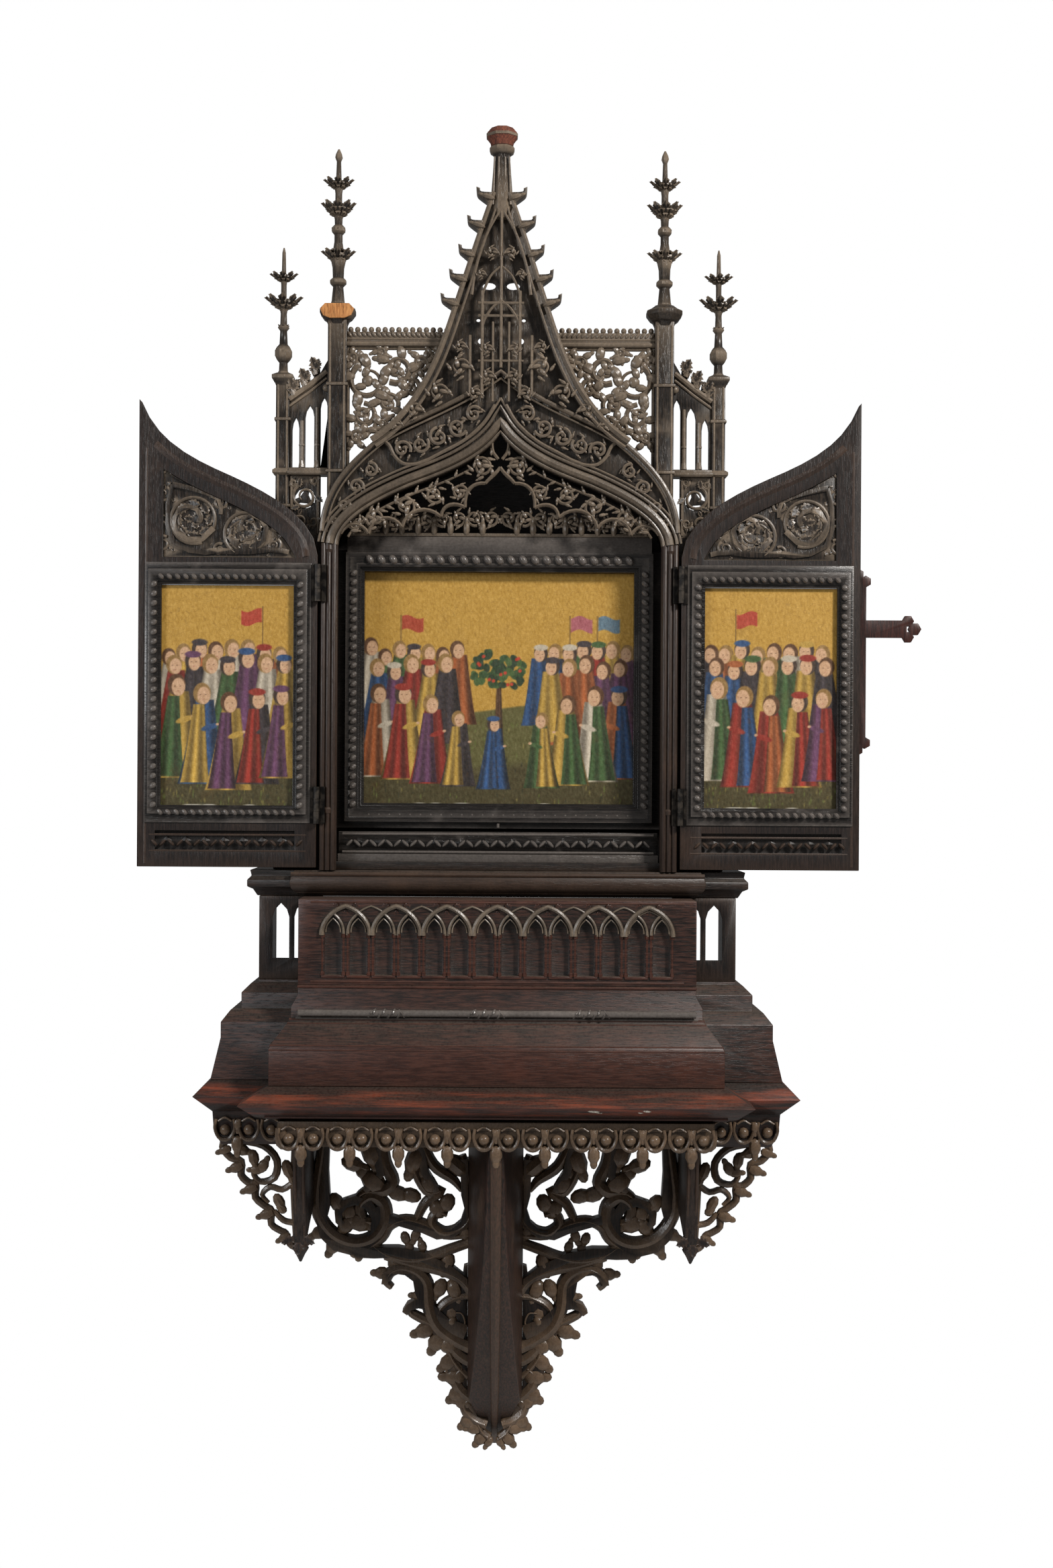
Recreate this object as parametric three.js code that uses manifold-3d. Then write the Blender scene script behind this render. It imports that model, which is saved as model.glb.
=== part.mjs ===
// A wall-hung neo-Gothic triptych altarpiece of carved oak: a niche under an ogee canopy, two hinged wings,
// a predella with a blind arcade, a stepped plinth and an openwork bracket that ends in a point.
// Units are millimetres. +Z is up, the front faces -Y, and the wall is the plane y = 0.
import * as THREE from 'three';
import { mergeVertices } from 'three/addons/utils/BufferGeometryUtils.js';
import Module from 'manifold-3d';

// ---- Driving dimensions ----

const FIT_GAP = 0.3; // between pieces that touch
const WELD = 1e-3; // points closer than this are one point

// Heights of the main lines of the case.
const SPRING_Z = 190; // where the ogee arch springs from its posts
const ARCH_APEX_Z = 378;
const HOOD_APEX_Z = 448;
const SPIRE_TOP_Z = 783;
const CASE_FOOT_Z = -297;
const SILL_FOOT_Z = -336;
const PREDELLA_FOOT_Z = -461;
const PLINTH_FOOT_Z = -603;
const SHELF_FOOT_Z = -650;
const BRACKET_TOP_Z = -700;
const BRACKET_TIP_Z = -1187;

// Half widths and fronts.
const ARCH_HALF = 255; // to the centre line of the arch moulding
const POST_INNER = 242;
const POST_OUTER = 267;
const POST_FRONT = -150;
const CASE_FRONT = -125.3;
const BACK_BOARD = 12;
const CASE_WALL = 12;
const FLANK_FRONT = -118;
const FLANK_OUTER = 338;
const PREDELLA_HALF = 290;
const PREDELLA_FRONT = -216;
const SCREEN_HALF = 357;
const SCREEN_FRONT = -130;

// The painted panels and their frames.
const PICTURE_HALF = 205;
const PICTURE_LOW_Z = -197;
const PICTURE_TOP_Z = 155;
const FRAME_BACK = -70;
const PANEL_THICKNESS = 6;

// The wings, open flat at rest, and their hinges.
const HINGE_X = 270;
const HINGE_Y = -158;
const WING_EDGE = 1; // from the hinge axis to the wing's near edge
const WING_WIDTH = 267.5; // from the hinge axis to the free edge
const WING_LOW_Z = -293;
const WING_FRONT = -150;
const WING_BACK = -126;
const HINGE_HEIGHTS = [130, -200];
const KNUCKLE_RADIUS = 5.2;
const KNUCKLE_LENGTH = 18;
const KNUCKLE_GAP = 0.4;

// The pinnacles.
const INNER_PINNACLE_X = 245;
const INNER_PINNACLE_Y = -121.5;
const OUTER_PINNACLE_X = 328;
const OUTER_PINNACLE_Y = -108;

const wasm = await Module();
wasm.setup();

// ---- Materials ----

const darkOak = new THREE.MeshStandardMaterial({ color: 0x2e2724, roughness: 0.55, metalness: 0 });
const dustyOak = new THREE.MeshStandardMaterial({ color: 0x4f463e, roughness: 0.7, metalness: 0 });
const wornOak = new THREE.MeshStandardMaterial({ color: 0x4a2a1e, roughness: 0.6, metalness: 0 });
const rawOak = new THREE.MeshStandardMaterial({ color: 0x82492f, roughness: 0.8, metalness: 0 });
const goldPanel = new THREE.MeshStandardMaterial({ color: 0xc3a041, roughness: 0.4, metalness: 0.2 });
const hingeIron = new THREE.MeshStandardMaterial({ color: 0x2b2826, roughness: 0.5, metalness: 0.8 });
const crossOak = new THREE.MeshStandardMaterial({ color: 0x3c211e, roughness: 0.5, metalness: 0 });

// ---- Making and joining solids ----

// A closed three.js geometry as a solid that can be joined and cut.
function solidOf(geometry) {
  const bare = geometry.index ? geometry.toNonIndexed() : geometry.clone();
  bare.deleteAttribute('normal');
  bare.deleteAttribute('uv');
  const merged = mergeVertices(bare, WELD);
  const vertProperties = Float32Array.from(merged.attributes.position.array);
  const triVerts = Uint32Array.from(merged.index.array);
  return new wasm.Manifold(new wasm.Mesh({ numProp: 3, vertProperties, triVerts }));
}

function geometryOf(solid) {
  const mesh = solid.getMesh();
  const geometry = new THREE.BufferGeometry();
  geometry.setAttribute('position', new THREE.BufferAttribute(Float32Array.from(mesh.vertProperties), 3));
  geometry.setIndex(new THREE.BufferAttribute(Uint32Array.from(mesh.triVerts), 1));
  return geometry;
}

const altarpiece = new THREE.Group();

function addPiece(name, shape, material) {
  const geometry = shape.isBufferGeometry ? shape : geometryOf(shape);
  const mesh = new THREE.Mesh(geometry, material);
  mesh.name = name;
  altarpiece.add(mesh);
}

// ---- Shapes ----

const at = (x, y) => new THREE.Vector2(x, y);
const deg = THREE.MathUtils.degToRad;

function extrude(shape, depth, curveSegments) {
  return new THREE.ExtrudeGeometry(shape, { depth, curveSegments, bevelEnabled: false });
}

// An upright board: a shape drawn in X and Z, from its front to its back along Y.
function board(shape, front, back, curveSegments = 4) {
  const geometry = extrude(shape, back - front, curveSegments);
  geometry.rotateX(Math.PI / 2);
  geometry.translate(0, back, 0);
  return geometry;
}

// A moulding: a profile drawn in Y and Z, run along X from one end to the other.
function runAlongX(shape, startX, endX, curveSegments = 4) {
  const geometry = extrude(shape, endX - startX, curveSegments);
  const turn = new THREE.Matrix4().makeBasis(
    new THREE.Vector3(0, 1, 0),
    new THREE.Vector3(0, 0, 1),
    new THREE.Vector3(1, 0, 0),
  );
  geometry.applyMatrix4(turn);
  geometry.translate(startX, 0, 0);
  return geometry;
}

// A column or a post: a plan drawn in X and Y, raised from its foot to its top.
function raise(shape, footZ, topZ, curveSegments = 4) {
  const geometry = extrude(shape, topZ - footZ, curveSegments);
  geometry.translate(0, 0, footZ);
  return geometry;
}

function box(lowX, highX, lowY, highY, lowZ, highZ) {
  const geometry = new THREE.BoxGeometry(highX - lowX, highY - lowY, highZ - lowZ);
  geometry.translate((lowX + highX) / 2, (lowY + highY) / 2, (lowZ + highZ) / 2);
  return geometry;
}

// A box on one side of the centre line: the near and far distances count from the centre line.
function sideBox(side, near, far, lowY, highY, lowZ, highZ) {
  const xs = [side * near, side * far].sort((a, b) => a - b);
  return box(xs[0], xs[1], lowY, highY, lowZ, highZ);
}

// A closed outline with its points in anticlockwise order.
function outline(points) {
  return new THREE.Shape(THREE.ShapeUtils.isClockWise(points) ? points.slice().reverse() : points);
}

// The same flat shape on either side of the centre line: side is 1 or -1.
function onSide(shape, side, curveSegments = 4) {
  return outline(shape.getPoints(curveSegments).map((p) => at(side * p.x, p.y)));
}

// An upright board with openings cut through it. Both are lists of points, drawn for the right side.
function piercedBoard(points, openings, front, back, side = 1) {
  const whole = solidOf(board(onSide(outline(points), side), front, back));
  return openings.reduce((carved, opening) => (
    carved.subtract(solidOf(board(onSide(outline(opening), side), front - 1, back + 1)))
  ), whole);
}

// Solids and closed geometries joined into one solid.
function join(pieces) {
  const solids = pieces.map((piece) => (piece.isBufferGeometry ? solidOf(piece) : piece));
  return solids.reduce((a, b) => a.add(b));
}

// A solid of revolution about an upright axis, from pairs of height and half width. Its flats face front.
function turned(profile, x, y, sides) {
  const radius = 1 / Math.cos(Math.PI / sides);
  const points = profile.map(([height, half]) => at(half * radius, height));
  const foot = at(0, points[0].y);
  const top = at(0, points[points.length - 1].y);
  const geometry = new THREE.LatheGeometry([foot, ...points, top], sides, Math.PI / sides);
  geometry.rotateX(Math.PI / 2);
  geometry.translate(x, y, 0);
  return geometry;
}

// A block whose front and two sides carry the same moulding, mitred at the corners.
// The profile gives, from the foot up, pairs of how far the moulding stands out and its height.
function mitredBlock(half, front, back, profile) {
  const reach = Math.max(...profile.map(([out]) => out)) + 1;
  const frontLine = profile.map(([out, z]) => at(front - out, z));
  const footZ = profile[0][1];
  const topZ = profile[profile.length - 1][1];
  const frontShape = outline([...frontLine, at(back, topZ), at(back, footZ)]);
  const rightLine = profile.map(([out, z]) => at(half + out, z));
  const leftLine = profile.map(([out, z]) => at(-half - out, z)).reverse();
  const across = solidOf(runAlongX(frontShape, -half - reach, half + reach));
  const deep = solidOf(board(outline([...rightLine, ...leftLine]), front - reach, back));
  return across.intersect(deep);
}

// Points round a spiral or an arc, with angles in degrees anticlockwise from the +X direction.
function spiral(centre, startRadius, endRadius, startAngle, endAngle, steps) {
  const points = [];
  for (let i = 0; i <= steps; i += 1) {
    const share = i / steps;
    const radius = THREE.MathUtils.lerp(startRadius, endRadius, share);
    const angle = deg(THREE.MathUtils.lerp(startAngle, endAngle, share));
    points.push(at(centre.x + radius * Math.cos(angle), centre.y + radius * Math.sin(angle)));
  }
  return points;
}

// A smooth line through a few points.
function smooth(points, steps) {
  return new THREE.SplineCurve(points).getPoints(steps);
}

// A flat ribbon along a line, whose width changes from one end to the other.
function ribbon(line, startWidth, endWidth) {
  const left = [];
  const right = [];
  line.forEach((p, i) => {
    const before = line[Math.max(i - 1, 0)];
    const after = line[Math.min(i + 1, line.length - 1)];
    const along = after.clone().sub(before).normalize();
    const half = THREE.MathUtils.lerp(startWidth, endWidth, i / (line.length - 1)) / 2;
    left.push(at(p.x - along.y * half, p.y + along.x * half));
    right.unshift(at(p.x + along.y * half, p.y - along.x * half));
  });
  return [...left, ...right];
}

// A leaf-shaped opening or leaf: pointed at both ends, turned by an angle in degrees.
function leaf(centre, length, width, angle) {
  const tip = at(length / 2, 0).rotateAround(at(0, 0), deg(angle));
  const bulge = at(0, width / 2).rotateAround(at(0, 0), deg(angle));
  const points = [];
  for (const [share, side] of [[-1, 0], [-0.3, 1], [0.5, 0.8], [1, 0], [0.3, -1], [-0.5, -0.8]]) {
    points.push(at(centre.x + tip.x * share + bulge.x * side, centre.y + tip.y * share + bulge.y * side));
  }
  return points;
}

// Three leaf-shaped openings round a centre: the piercing of one scroll.
function scrollPiercing(centre, radius, turn) {
  const holes = [];
  for (let k = 0; k < 3; k += 1) {
    const angle = turn + 120 * k;
    const middle = centre.clone().add(at(radius * 0.52, 0).rotateAround(at(0, 0), deg(angle)));
    holes.push(leaf(middle, radius * 1.15, radius * 0.42, angle + 90));
  }
  return holes;
}

// The outline of a pointed lancet, from its left foot round to its right foot.
function lancet(centreX, half, footZ, springZ, apexZ) {
  return [
    at(centreX - half, footZ),
    at(centreX - half, springZ),
    at(centreX - half * 0.72, springZ + (apexZ - springZ) * 0.55),
    at(centreX, apexZ),
    at(centreX + half * 0.72, springZ + (apexZ - springZ) * 0.55),
    at(centreX + half, springZ),
    at(centreX + half, footZ),
  ];
}

// ---- Ogee curves ----

// Two cubic curves that make one half of an ogee, from its foot to its apex on the centre line.
function ogee(foot, footPull, haunch, turnPoint, swing, apexPull, apex) {
  const path = new THREE.CurvePath();
  path.add(new THREE.CubicBezierCurve(foot, footPull, haunch, turnPoint));
  path.add(new THREE.CubicBezierCurve(turnPoint, swing, apexPull, apex));
  return path;
}

const archCurve = ogee(
  at(ARCH_HALF, SPRING_Z), at(251, 232), at(200, 262), at(139, 288),
  at(95, 305), at(28, 326), at(0, ARCH_APEX_Z),
);
const hoodCurve = ogee(
  at(265.5, 208), at(262, 270), at(228, 306), at(178, 347),
  at(133, 377), at(50, 402), at(0, HOOD_APEX_Z),
);
const gableCurve = ogee(
  at(194, 347), at(146, 378), at(112, 425), at(84, 508),
  at(64, 568), at(38, 652), at(16, 714),
);
const wingCurve = ogee(
  at(HINGE_X - WING_EDGE, 172), at(266, 222), at(212, 256), at(147, 286),
  at(100, 307), at(30, 332), at(2.5, 403),
);

// Points along half of a curve, set off outwards, evenly spaced.
function offsetLine(curve, offset, steps) {
  const points = [];
  for (let i = 0; i <= steps; i += 1) {
    const p = curve.getPointAt(i / steps);
    const along = curve.getTangentAt(i / steps);
    points.push(at(p.x + along.y * offset, p.y - along.x * offset));
  }
  return points;
}

// The same line ended on the centre line: cut short where it crosses it, or led on to it.
function toCentre(points) {
  const kept = [points[0]];
  for (const p of points.slice(1)) {
    const last = kept[kept.length - 1];
    if (p.x <= 0) {
      kept.push(at(0, last.y + (last.x / (last.x - p.x)) * (p.y - last.y)));
      return kept;
    }
    kept.push(p);
  }
  const [before, last] = kept.slice(-2);
  kept.push(at(0, last.y + (last.x * (last.y - before.y)) / (before.x - last.x)));
  return kept;
}

// Both halves as one line, from the left foot over the apex to the right foot.
function bothHalves(half) {
  const left = half.map((p) => at(-p.x, p.y));
  return [...left, ...half.slice(0, -1).reverse()];
}

const ARCH_STEPS = 10;
const archLine = (offset, footZ) => {
  const half = toCentre(offsetLine(archCurve, offset, ARCH_STEPS));
  const leg = [at(half[0].x, footZ)];
  if (footZ < SPRING_Z) {
    leg.push(at(half[0].x, SPRING_Z));
  }
  return bothHalves([...leg, ...half.slice(1)]);
};

// ---- The niche case, its flanks and posts ----

function makeCase() {
  const foot = CASE_FOOT_Z + FIT_GAP;
  const outer = archLine(POST_OUTER - ARCH_HALF, foot);
  const inner = archLine(0, foot + CASE_WALL);
  const walls = piercedBoard(outer, [inner], CASE_FRONT, -BACK_BOARD + 1);
  const back = board(outline(outer), -BACK_BOARD, 0);
  addPiece('niche_case', join([walls, back]), darkOak);
}

function makeFlank(name, side) {
  const near = POST_OUTER + 1;
  const topZ = 204.7;
  const foot = CASE_FOOT_Z + FIT_GAP;
  addPiece(`${name}_flank`, join([
    sideBox(side, near, FLANK_OUTER, FLANK_FRONT, FLANK_FRONT + 12, foot, topZ),
    sideBox(side, FLANK_OUTER - 12, FLANK_OUTER, FLANK_FRONT, 0, foot, topZ),
    sideBox(side, near, FLANK_OUTER, FLANK_FRONT, 0, topZ - 12, topZ),
  ]), darkOak);
}

// A post of three upright rolls, in plan.
function makePost(name, side) {
  const rollRadius = 4;
  const rollY = POST_FRONT + rollRadius;
  const plan = new THREE.Shape();
  plan.moveTo(POST_INNER, CASE_FRONT - FIT_GAP);
  plan.lineTo(POST_INNER, rollY);
  for (const roll of [0, 1, 2]) {
    const rollX = POST_INNER + 0.5 + rollRadius + roll * 2 * rollRadius;
    plan.absarc(rollX, rollY, rollRadius, Math.PI, 2 * Math.PI, false);
  }
  plan.lineTo(POST_OUTER, CASE_FRONT - FIT_GAP);
  const post = raise(onSide(plan, side, 4), CASE_FOOT_Z + FIT_GAP, SPRING_Z);
  addPiece(`${name}_post`, solidOf(post), darkOak);
}

// ---- The ogee arch and its openwork ----

function makeArch() {
  const foot = SPRING_Z + FIT_GAP;
  const bandOut = POST_OUTER - ARCH_HALF;
  const band = [...archLine(bandOut, foot), ...archLine(POST_INNER - ARCH_HALF, foot).reverse()];
  const roll = [...archLine(6, foot), ...archLine(-7, foot).reverse()];
  const pieces = [
    board(outline(band), -147, CASE_FRONT - FIT_GAP),
    board(outline(roll), -155, -146),
  ];
  addPiece('ogee_arch', join(pieces), darkOak);
}

// Openwork that hangs under the arch: three lobes a side between pointed cusps, and a trefoil at the crown.
function makeArchTracery() {
  const upper = toCentre(offsetLine(archCurve, POST_INNER - ARCH_HALF - FIT_GAP, ARCH_STEPS)).slice(1);
  const lower = new THREE.Path();
  lower.moveTo(239, 197);
  lower.quadraticCurveTo(214, 238, 182, 208);
  lower.quadraticCurveTo(160, 252, 126, 214);
  lower.quadraticCurveTo(108, 262, 66, 230);
  lower.quadraticCurveTo(74, 262, 46, 262);
  lower.quadraticCurveTo(50, 292, 26, 292);
  lower.quadraticCurveTo(18, 312, 0, 312);
  const half = [...upper.slice().reverse(), ...lower.getPoints(3)];
  const right = half.slice(0, -1);
  const points = [...half.map((p) => at(-p.x, p.y)).reverse(), ...right.slice(1)];
  const holes = [];
  const leaves = [
    [56, 277, 32, 10, 22], [98, 262, 40, 13, -6], [150, 248, 34, 12, -28], [194, 232, 28, 9, -36],
  ];
  for (const [x, z, length, width, angle] of leaves) {
    for (const side of [-1, 1]) {
      holes.push(leaf(at(side * x, z), length, width, side > 0 ? angle : 180 - angle));
    }
  }
  addPiece('arch_tracery', piercedBoard(points, holes, -143, -131), darkOak);
}

// A band of scrolls across the niche above the picture.
function makeVaultTracery() {
  const half = 228;
  const leaves = 12;
  const pitch = (2 * half) / leaves;
  const holes = [];
  for (let i = 0; i < leaves; i += 1) {
    holes.push(leaf(at(-half + pitch * (i + 0.5), 229), 32, 14, i % 2 ? 40 : -40));
  }
  const low = 207.6;
  const high = 246;
  const right = [at(half, low), at(half - 18, high), at(100, 266)];
  const points = [...right, ...right.map((p) => at(-p.x, p.y)).reverse()];
  addPiece('vault_tracery', piercedBoard(points, holes, -96, -88), darkOak);
}

const HOOD_ROLL = 3.5; // half the width of the hood's roll

// The pierced carving between the arch and its hood, with the hood's roll along the top.
function makeSpandrel() {
  const archTop = toCentre(offsetLine(archCurve, POST_OUTER - ARCH_HALF + FIT_GAP, ARCH_STEPS)).slice(1);
  const hoodTop = toCentre(offsetLine(hoodCurve, HOOD_ROLL, ARCH_STEPS));
  const hoodLow = toCentre(offsetLine(hoodCurve, -HOOD_ROLL, ARCH_STEPS));
  const points = [...bothHalves(hoodTop), ...bothHalves(archTop).reverse()];
  const holes = [];
  const holesPerSide = 5;
  for (let i = 1; i <= holesPerSide; i += 1) {
    const share = 0.2 + (0.66 * i) / holesPerSide;
    const below = archCurve.getPointAt(share);
    const above = hoodCurve.getPointAt(share + 0.02);
    const middle = at((below.x + above.x) / 2, (below.y + above.y) / 2 + 3);
    const room = below.distanceTo(above) - 34;
    const slope = THREE.MathUtils.radToDeg(Math.atan2(above.y - below.y, above.x - below.x));
    for (const side of [-1, 1]) {
      const angle = side > 0 ? slope + 24 : 156 - slope;
      holes.push(leaf(at(side * middle.x, middle.y), Math.max(room, 16), 13, angle));
    }
  }
  const carving = piercedBoard(points, holes, -147, -136);
  const roll = board(outline([...bothHalves(hoodTop), ...bothHalves(hoodLow).reverse()]), -153, -146);
  addPiece('spandrel_carving', join([carving, roll]), dustyOak);
}

// ---- The gable and spire ----

// The height and reach of each crocket's tip.
const CROCKETS = [[557, 90], [593, 77.5], [630, 64], [673, 51], [715, 37.5]];

const GABLE_SEAT_HALF = 188; // how far out the gable sits on the hood

// One side of the gable from its foot to the shaft, with a hooked leaf at each crocket.
function gableEdge() {
  const foot = offsetLine(gableCurve, 0, 40);
  const edgeAt = (z) => {
    const index = foot.findIndex((p) => p.y >= z);
    return index < 0 ? 18 : foot[index].x;
  };
  const lowest = CROCKETS[0][0] - 20;
  const points = foot.filter((p, i) => p.y < lowest && i % 4 === 0);
  for (const [z, reach] of CROCKETS) {
    points.push(at(edgeAt(z - 16), z - 16));
    points.push(at(reach - 6, z - 9));
    points.push(at(reach, z));
    points.push(at(reach - 7, z + 6));
    points.push(at((reach + edgeAt(z)) / 2 - 4, z - 1));
    points.push(at(edgeAt(z + 8), z + 8));
  }
  points.push(at(13.5, 745), at(13.5, SPIRE_TOP_Z));
  return points;
}

function makeGable() {
  const hoodTop = toCentre(offsetLine(hoodCurve, HOOD_ROLL + FIT_GAP, ARCH_STEPS));
  const hoodEdge = hoodTop.filter((p) => p.x < GABLE_SEAT_HALF);
  const right = gableEdge();
  const left = right.map((p) => at(-p.x, p.y)).reverse();
  const points = [...right, ...left, ...bothHalves(hoodEdge)];
  const holes = [];
  // Lancets by centre, half width, foot, springing and apex, then leaves by centre, length, width and angle.
  const lights = [
    [9, 7, 470, 505, 522], [27, 7, 470, 500, 516], [45, 6, 468, 492, 505],
    [8, 6, 536, 575, 590], [23, 6, 536, 560, 574], [7, 5, 604, 640, 655],
  ];
  const leaves = [[52, 440, 34, 10, -40], [92, 420, 34, 11, -40], [130, 392, 24, 8, -38]];
  for (const [x, half, foot, spring, apex] of lights) {
    holes.push(lancet(x, half, foot, spring, apex), lancet(-x, half, foot, spring, apex));
  }
  for (const [x, z, length, width, angle] of leaves) {
    holes.push(leaf(at(x, z), length, width, angle), leaf(at(-x, z), length, width, 180 - angle));
  }
  const screen = piercedBoard(points, holes, -150, -131);
  const collar = [[772, 12], [774, 17.5], [779, 19], [SPIRE_TOP_Z - 0.2, 17]];
  const shaft = turned([[690, 6], [700, 17], [716, 16], [745, 13.8], ...collar], 0, -141, 8);
  addPiece('gable', join([screen, shaft]), dustyOak);
}

function makeSpireCap() {
  const profile = [[783.3, 16.5], [789, 17], [794, 20], [799, 23], [803, 20], [808, 16], [811, 11.5]];
  addPiece('spire_cap', turned(profile, 0, -141, 8), rawOak);
}

// ---- The picture, its frame and the frieze under it ----

function frameRing(outerHalf, innerHalf, outerLow, innerLow, innerTop, outerTop, front, back) {
  const rectangle = (half, low, top) => [at(-half, low), at(half, low), at(half, top), at(-half, top)];
  const hole = rectangle(innerHalf, innerLow, innerTop);
  return piercedBoard(rectangle(outerHalf, outerLow, outerTop), [hole], front, back);
}

function makePicture() {
  const liningHalf = ARCH_HALF - 0.4;
  const liningTop = SPRING_Z - 2;
  const lining = frameRing(
    liningHalf, PICTURE_HALF, -235, PICTURE_LOW_Z, PICTURE_TOP_Z, liningTop, -80, FRAME_BACK,
  );
  const beads = frameRing(231, 211, -225, -203, 161, 207, -95, -79);
  const bevel = frameRing(213, PICTURE_HALF, -205, PICTURE_LOW_Z, PICTURE_TOP_Z, 163, -88, -79);
  addPiece('picture_frame', join([lining, beads, bevel]), darkOak);
  const back = FRAME_BACK + FIT_GAP + PANEL_THICKNESS;
  addPiece('centre_painting', box(
    -PICTURE_HALF - 4, PICTURE_HALF + 4, FRAME_BACK + FIT_GAP, back, PICTURE_LOW_Z - 4, PICTURE_TOP_Z + 4,
  ), goldPanel);
}

// A row of four-sided studs, point to point.
function studs(startX, endX, z, half, count, front) {
  const pitch = (endX - startX) / count;
  const pieces = [];
  for (let i = 0; i < count; i += 1) {
    const stud = new THREE.ConeGeometry(half, 7, 4);
    stud.rotateX(Math.PI);
    stud.translate(startX + pitch * (i + 0.5), front - 1, z);
    pieces.push(stud);
  }
  return pieces;
}

function makeNicheFrieze() {
  const low = -274;
  const high = -240;
  const rail = box(-241, 241, -100, -88, low, high);
  const step = box(-241, 241, -118, -88, CASE_FOOT_Z + CASE_WALL + FIT_GAP, low + 1);
  const diamonds = studs(-232, 232, (low + high) / 2, 15, 12, -99.5);
  addPiece('niche_sill_frieze', join([rail, step, ...diamonds]), darkOak);
}

// ---- Sill and predella ----

function makeSill() {
  const sideProfile = [
    [-14, SILL_FOOT_Z], [-8, -326], [0, -322], [0, -312], [-6, -306], [-4, CASE_FOOT_Z],
  ];
  const centreProfile = [
    [-14, SILL_FOOT_Z], [-6, -330], [0, -324], [2, -316], [0, -306], [-5, CASE_FOOT_Z],
  ];
  const sides = mitredBlock(374, -143, 0, sideProfile);
  const centre = mitredBlock(308, -150, 0, centreProfile);
  addPiece('sill', sides.add(centre), darkOak);
}

const ARCADE_COUNT = 14;
const ARCADE_PITCH = 36.8;

function makePredellaFront() {
  const top = SILL_FOOT_Z - FIT_GAP;
  const foot = PREDELLA_FOOT_Z;
  const back = SCREEN_FRONT - FIT_GAP;
  let carved = join([
    box(-PREDELLA_HALF, PREDELLA_HALF, PREDELLA_FRONT, PREDELLA_FRONT + 22, foot, top),
    sideBox(-1, PREDELLA_HALF - 18, PREDELLA_HALF, PREDELLA_FRONT + 10, back, foot, top),
    sideBox(1, PREDELLA_HALF - 18, PREDELLA_HALF, PREDELLA_FRONT + 10, back, foot, top),
  ]);
  for (let i = 0; i < ARCADE_COUNT; i += 1) {
    const x = (i - (ARCADE_COUNT - 1) / 2) * ARCADE_PITCH;
    const niche = board(outline(lancet(x, 12.5, -446, -385, -356)), PREDELLA_FRONT - 1, PREDELLA_FRONT + 8);
    carved = carved.subtract(solidOf(niche));
  }
  const lid = solidOf(box(-PREDELLA_HALF, PREDELLA_HALF, PREDELLA_FRONT, back, top - 10, top));
  addPiece('predella_front', carved.add(lid), wornOak);
}

function makePredellaScreen(name, side) {
  const top = SILL_FOOT_Z - FIT_GAP;
  const inner = 262;
  const rectangle = [
    at(inner, PREDELLA_FOOT_Z), at(SCREEN_HALF, PREDELLA_FOOT_Z), at(SCREEN_HALF, top), at(inner, top),
  ];
  const lights = [lancet(292.5, 12.5, -430, -368, -347), lancet(324.5, 12.5, -430, -368, -347)];
  const screen = piercedBoard(rectangle, lights, SCREEN_FRONT, SCREEN_FRONT + 12, side);
  const flank = sideBox(side, SCREEN_HALF - 12, SCREEN_HALF, SCREEN_FRONT + 6, 0, PREDELLA_FOOT_Z, top);
  addPiece(`${name}_predella_screen`, join([screen, flank]), darkOak);
}

// ---- Plinth and shelf ----

const PLINTH_TOP_Z = PREDELLA_FOOT_Z - FIT_GAP;

function makePlinth() {
  const sideProfile = [
    [63, PLINTH_FOOT_Z], [50, -543], [50, -520], [37, -503], [23, -503], [23, -479],
    [10, -466], [0, -466], [0, PLINTH_TOP_Z],
  ];
  const centreProfile = [
    [38, PLINTH_FOOT_Z], [38, -550], [35, -543], [13, -514], [9, -508], [9, -492],
    [0, -475], [0, PLINTH_TOP_Z],
  ];
  const sides = mitredBlock(SCREEN_HALF, SCREEN_FRONT, 0, sideProfile);
  const centre = mitredBlock(PREDELLA_HALF, PREDELLA_FRONT, 0, centreProfile);
  const room = join([
    box(-340, 340, SCREEN_FRONT + 20, 1, PLINTH_FOOT_Z - 1, PLINTH_TOP_Z - 18),
    box(-272, 272, PREDELLA_FRONT + 20, 1, PLINTH_FOOT_Z - 1, PLINTH_TOP_Z - 30),
  ]);
  addPiece('plinth', sides.add(centre).subtract(room), wornOak);
}

// The roll that runs along the step of the plinth, bound with ribbons.
function makeRibbonRoll() {
  const z = -500;
  const y = PREDELLA_FRONT - 9 - FIT_GAP - 5.5;
  const roll = new THREE.CylinderGeometry(5.5, 5.5, 2 * PREDELLA_HALF, 8);
  roll.rotateZ(Math.PI / 2);
  roll.translate(0, y, z);
  const bindings = [-160, -15, 137].map((x) => {
    const binding = new THREE.CylinderGeometry(6.6, 6.6, 26, 8);
    binding.rotateZ(Math.PI / 2);
    binding.translate(x, y - 1.2, z);
    return binding;
  });
  addPiece('ribbon_roll', join([roll, ...bindings]), darkOak);
}

function makeShelf() {
  const top = PLINTH_FOOT_Z - FIT_GAP;
  const sideProfile = [[48, BRACKET_TOP_Z], [58, -680], [60, SHELF_FOOT_Z], [86, -625], [63, top]];
  const centreProfile = [[40, SHELF_FOOT_Z], [56, -644], [78, -626], [40, top]];
  const sides = mitredBlock(SCREEN_HALF, SCREEN_FRONT, 0, sideProfile);
  const centre = mitredBlock(PREDELLA_HALF, PREDELLA_FRONT, 0, centreProfile);
  const soffit = join([
    box(-385, 385, SCREEN_FRONT - 30, 1, BRACKET_TOP_Z - 1, SHELF_FOOT_Z),
    box(-302, 302, PREDELLA_FRONT, 1, BRACKET_TOP_Z - 1, SHELF_FOOT_Z),
  ]);
  addPiece('shelf', sides.add(centre).subtract(soffit), wornOak);
}

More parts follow.
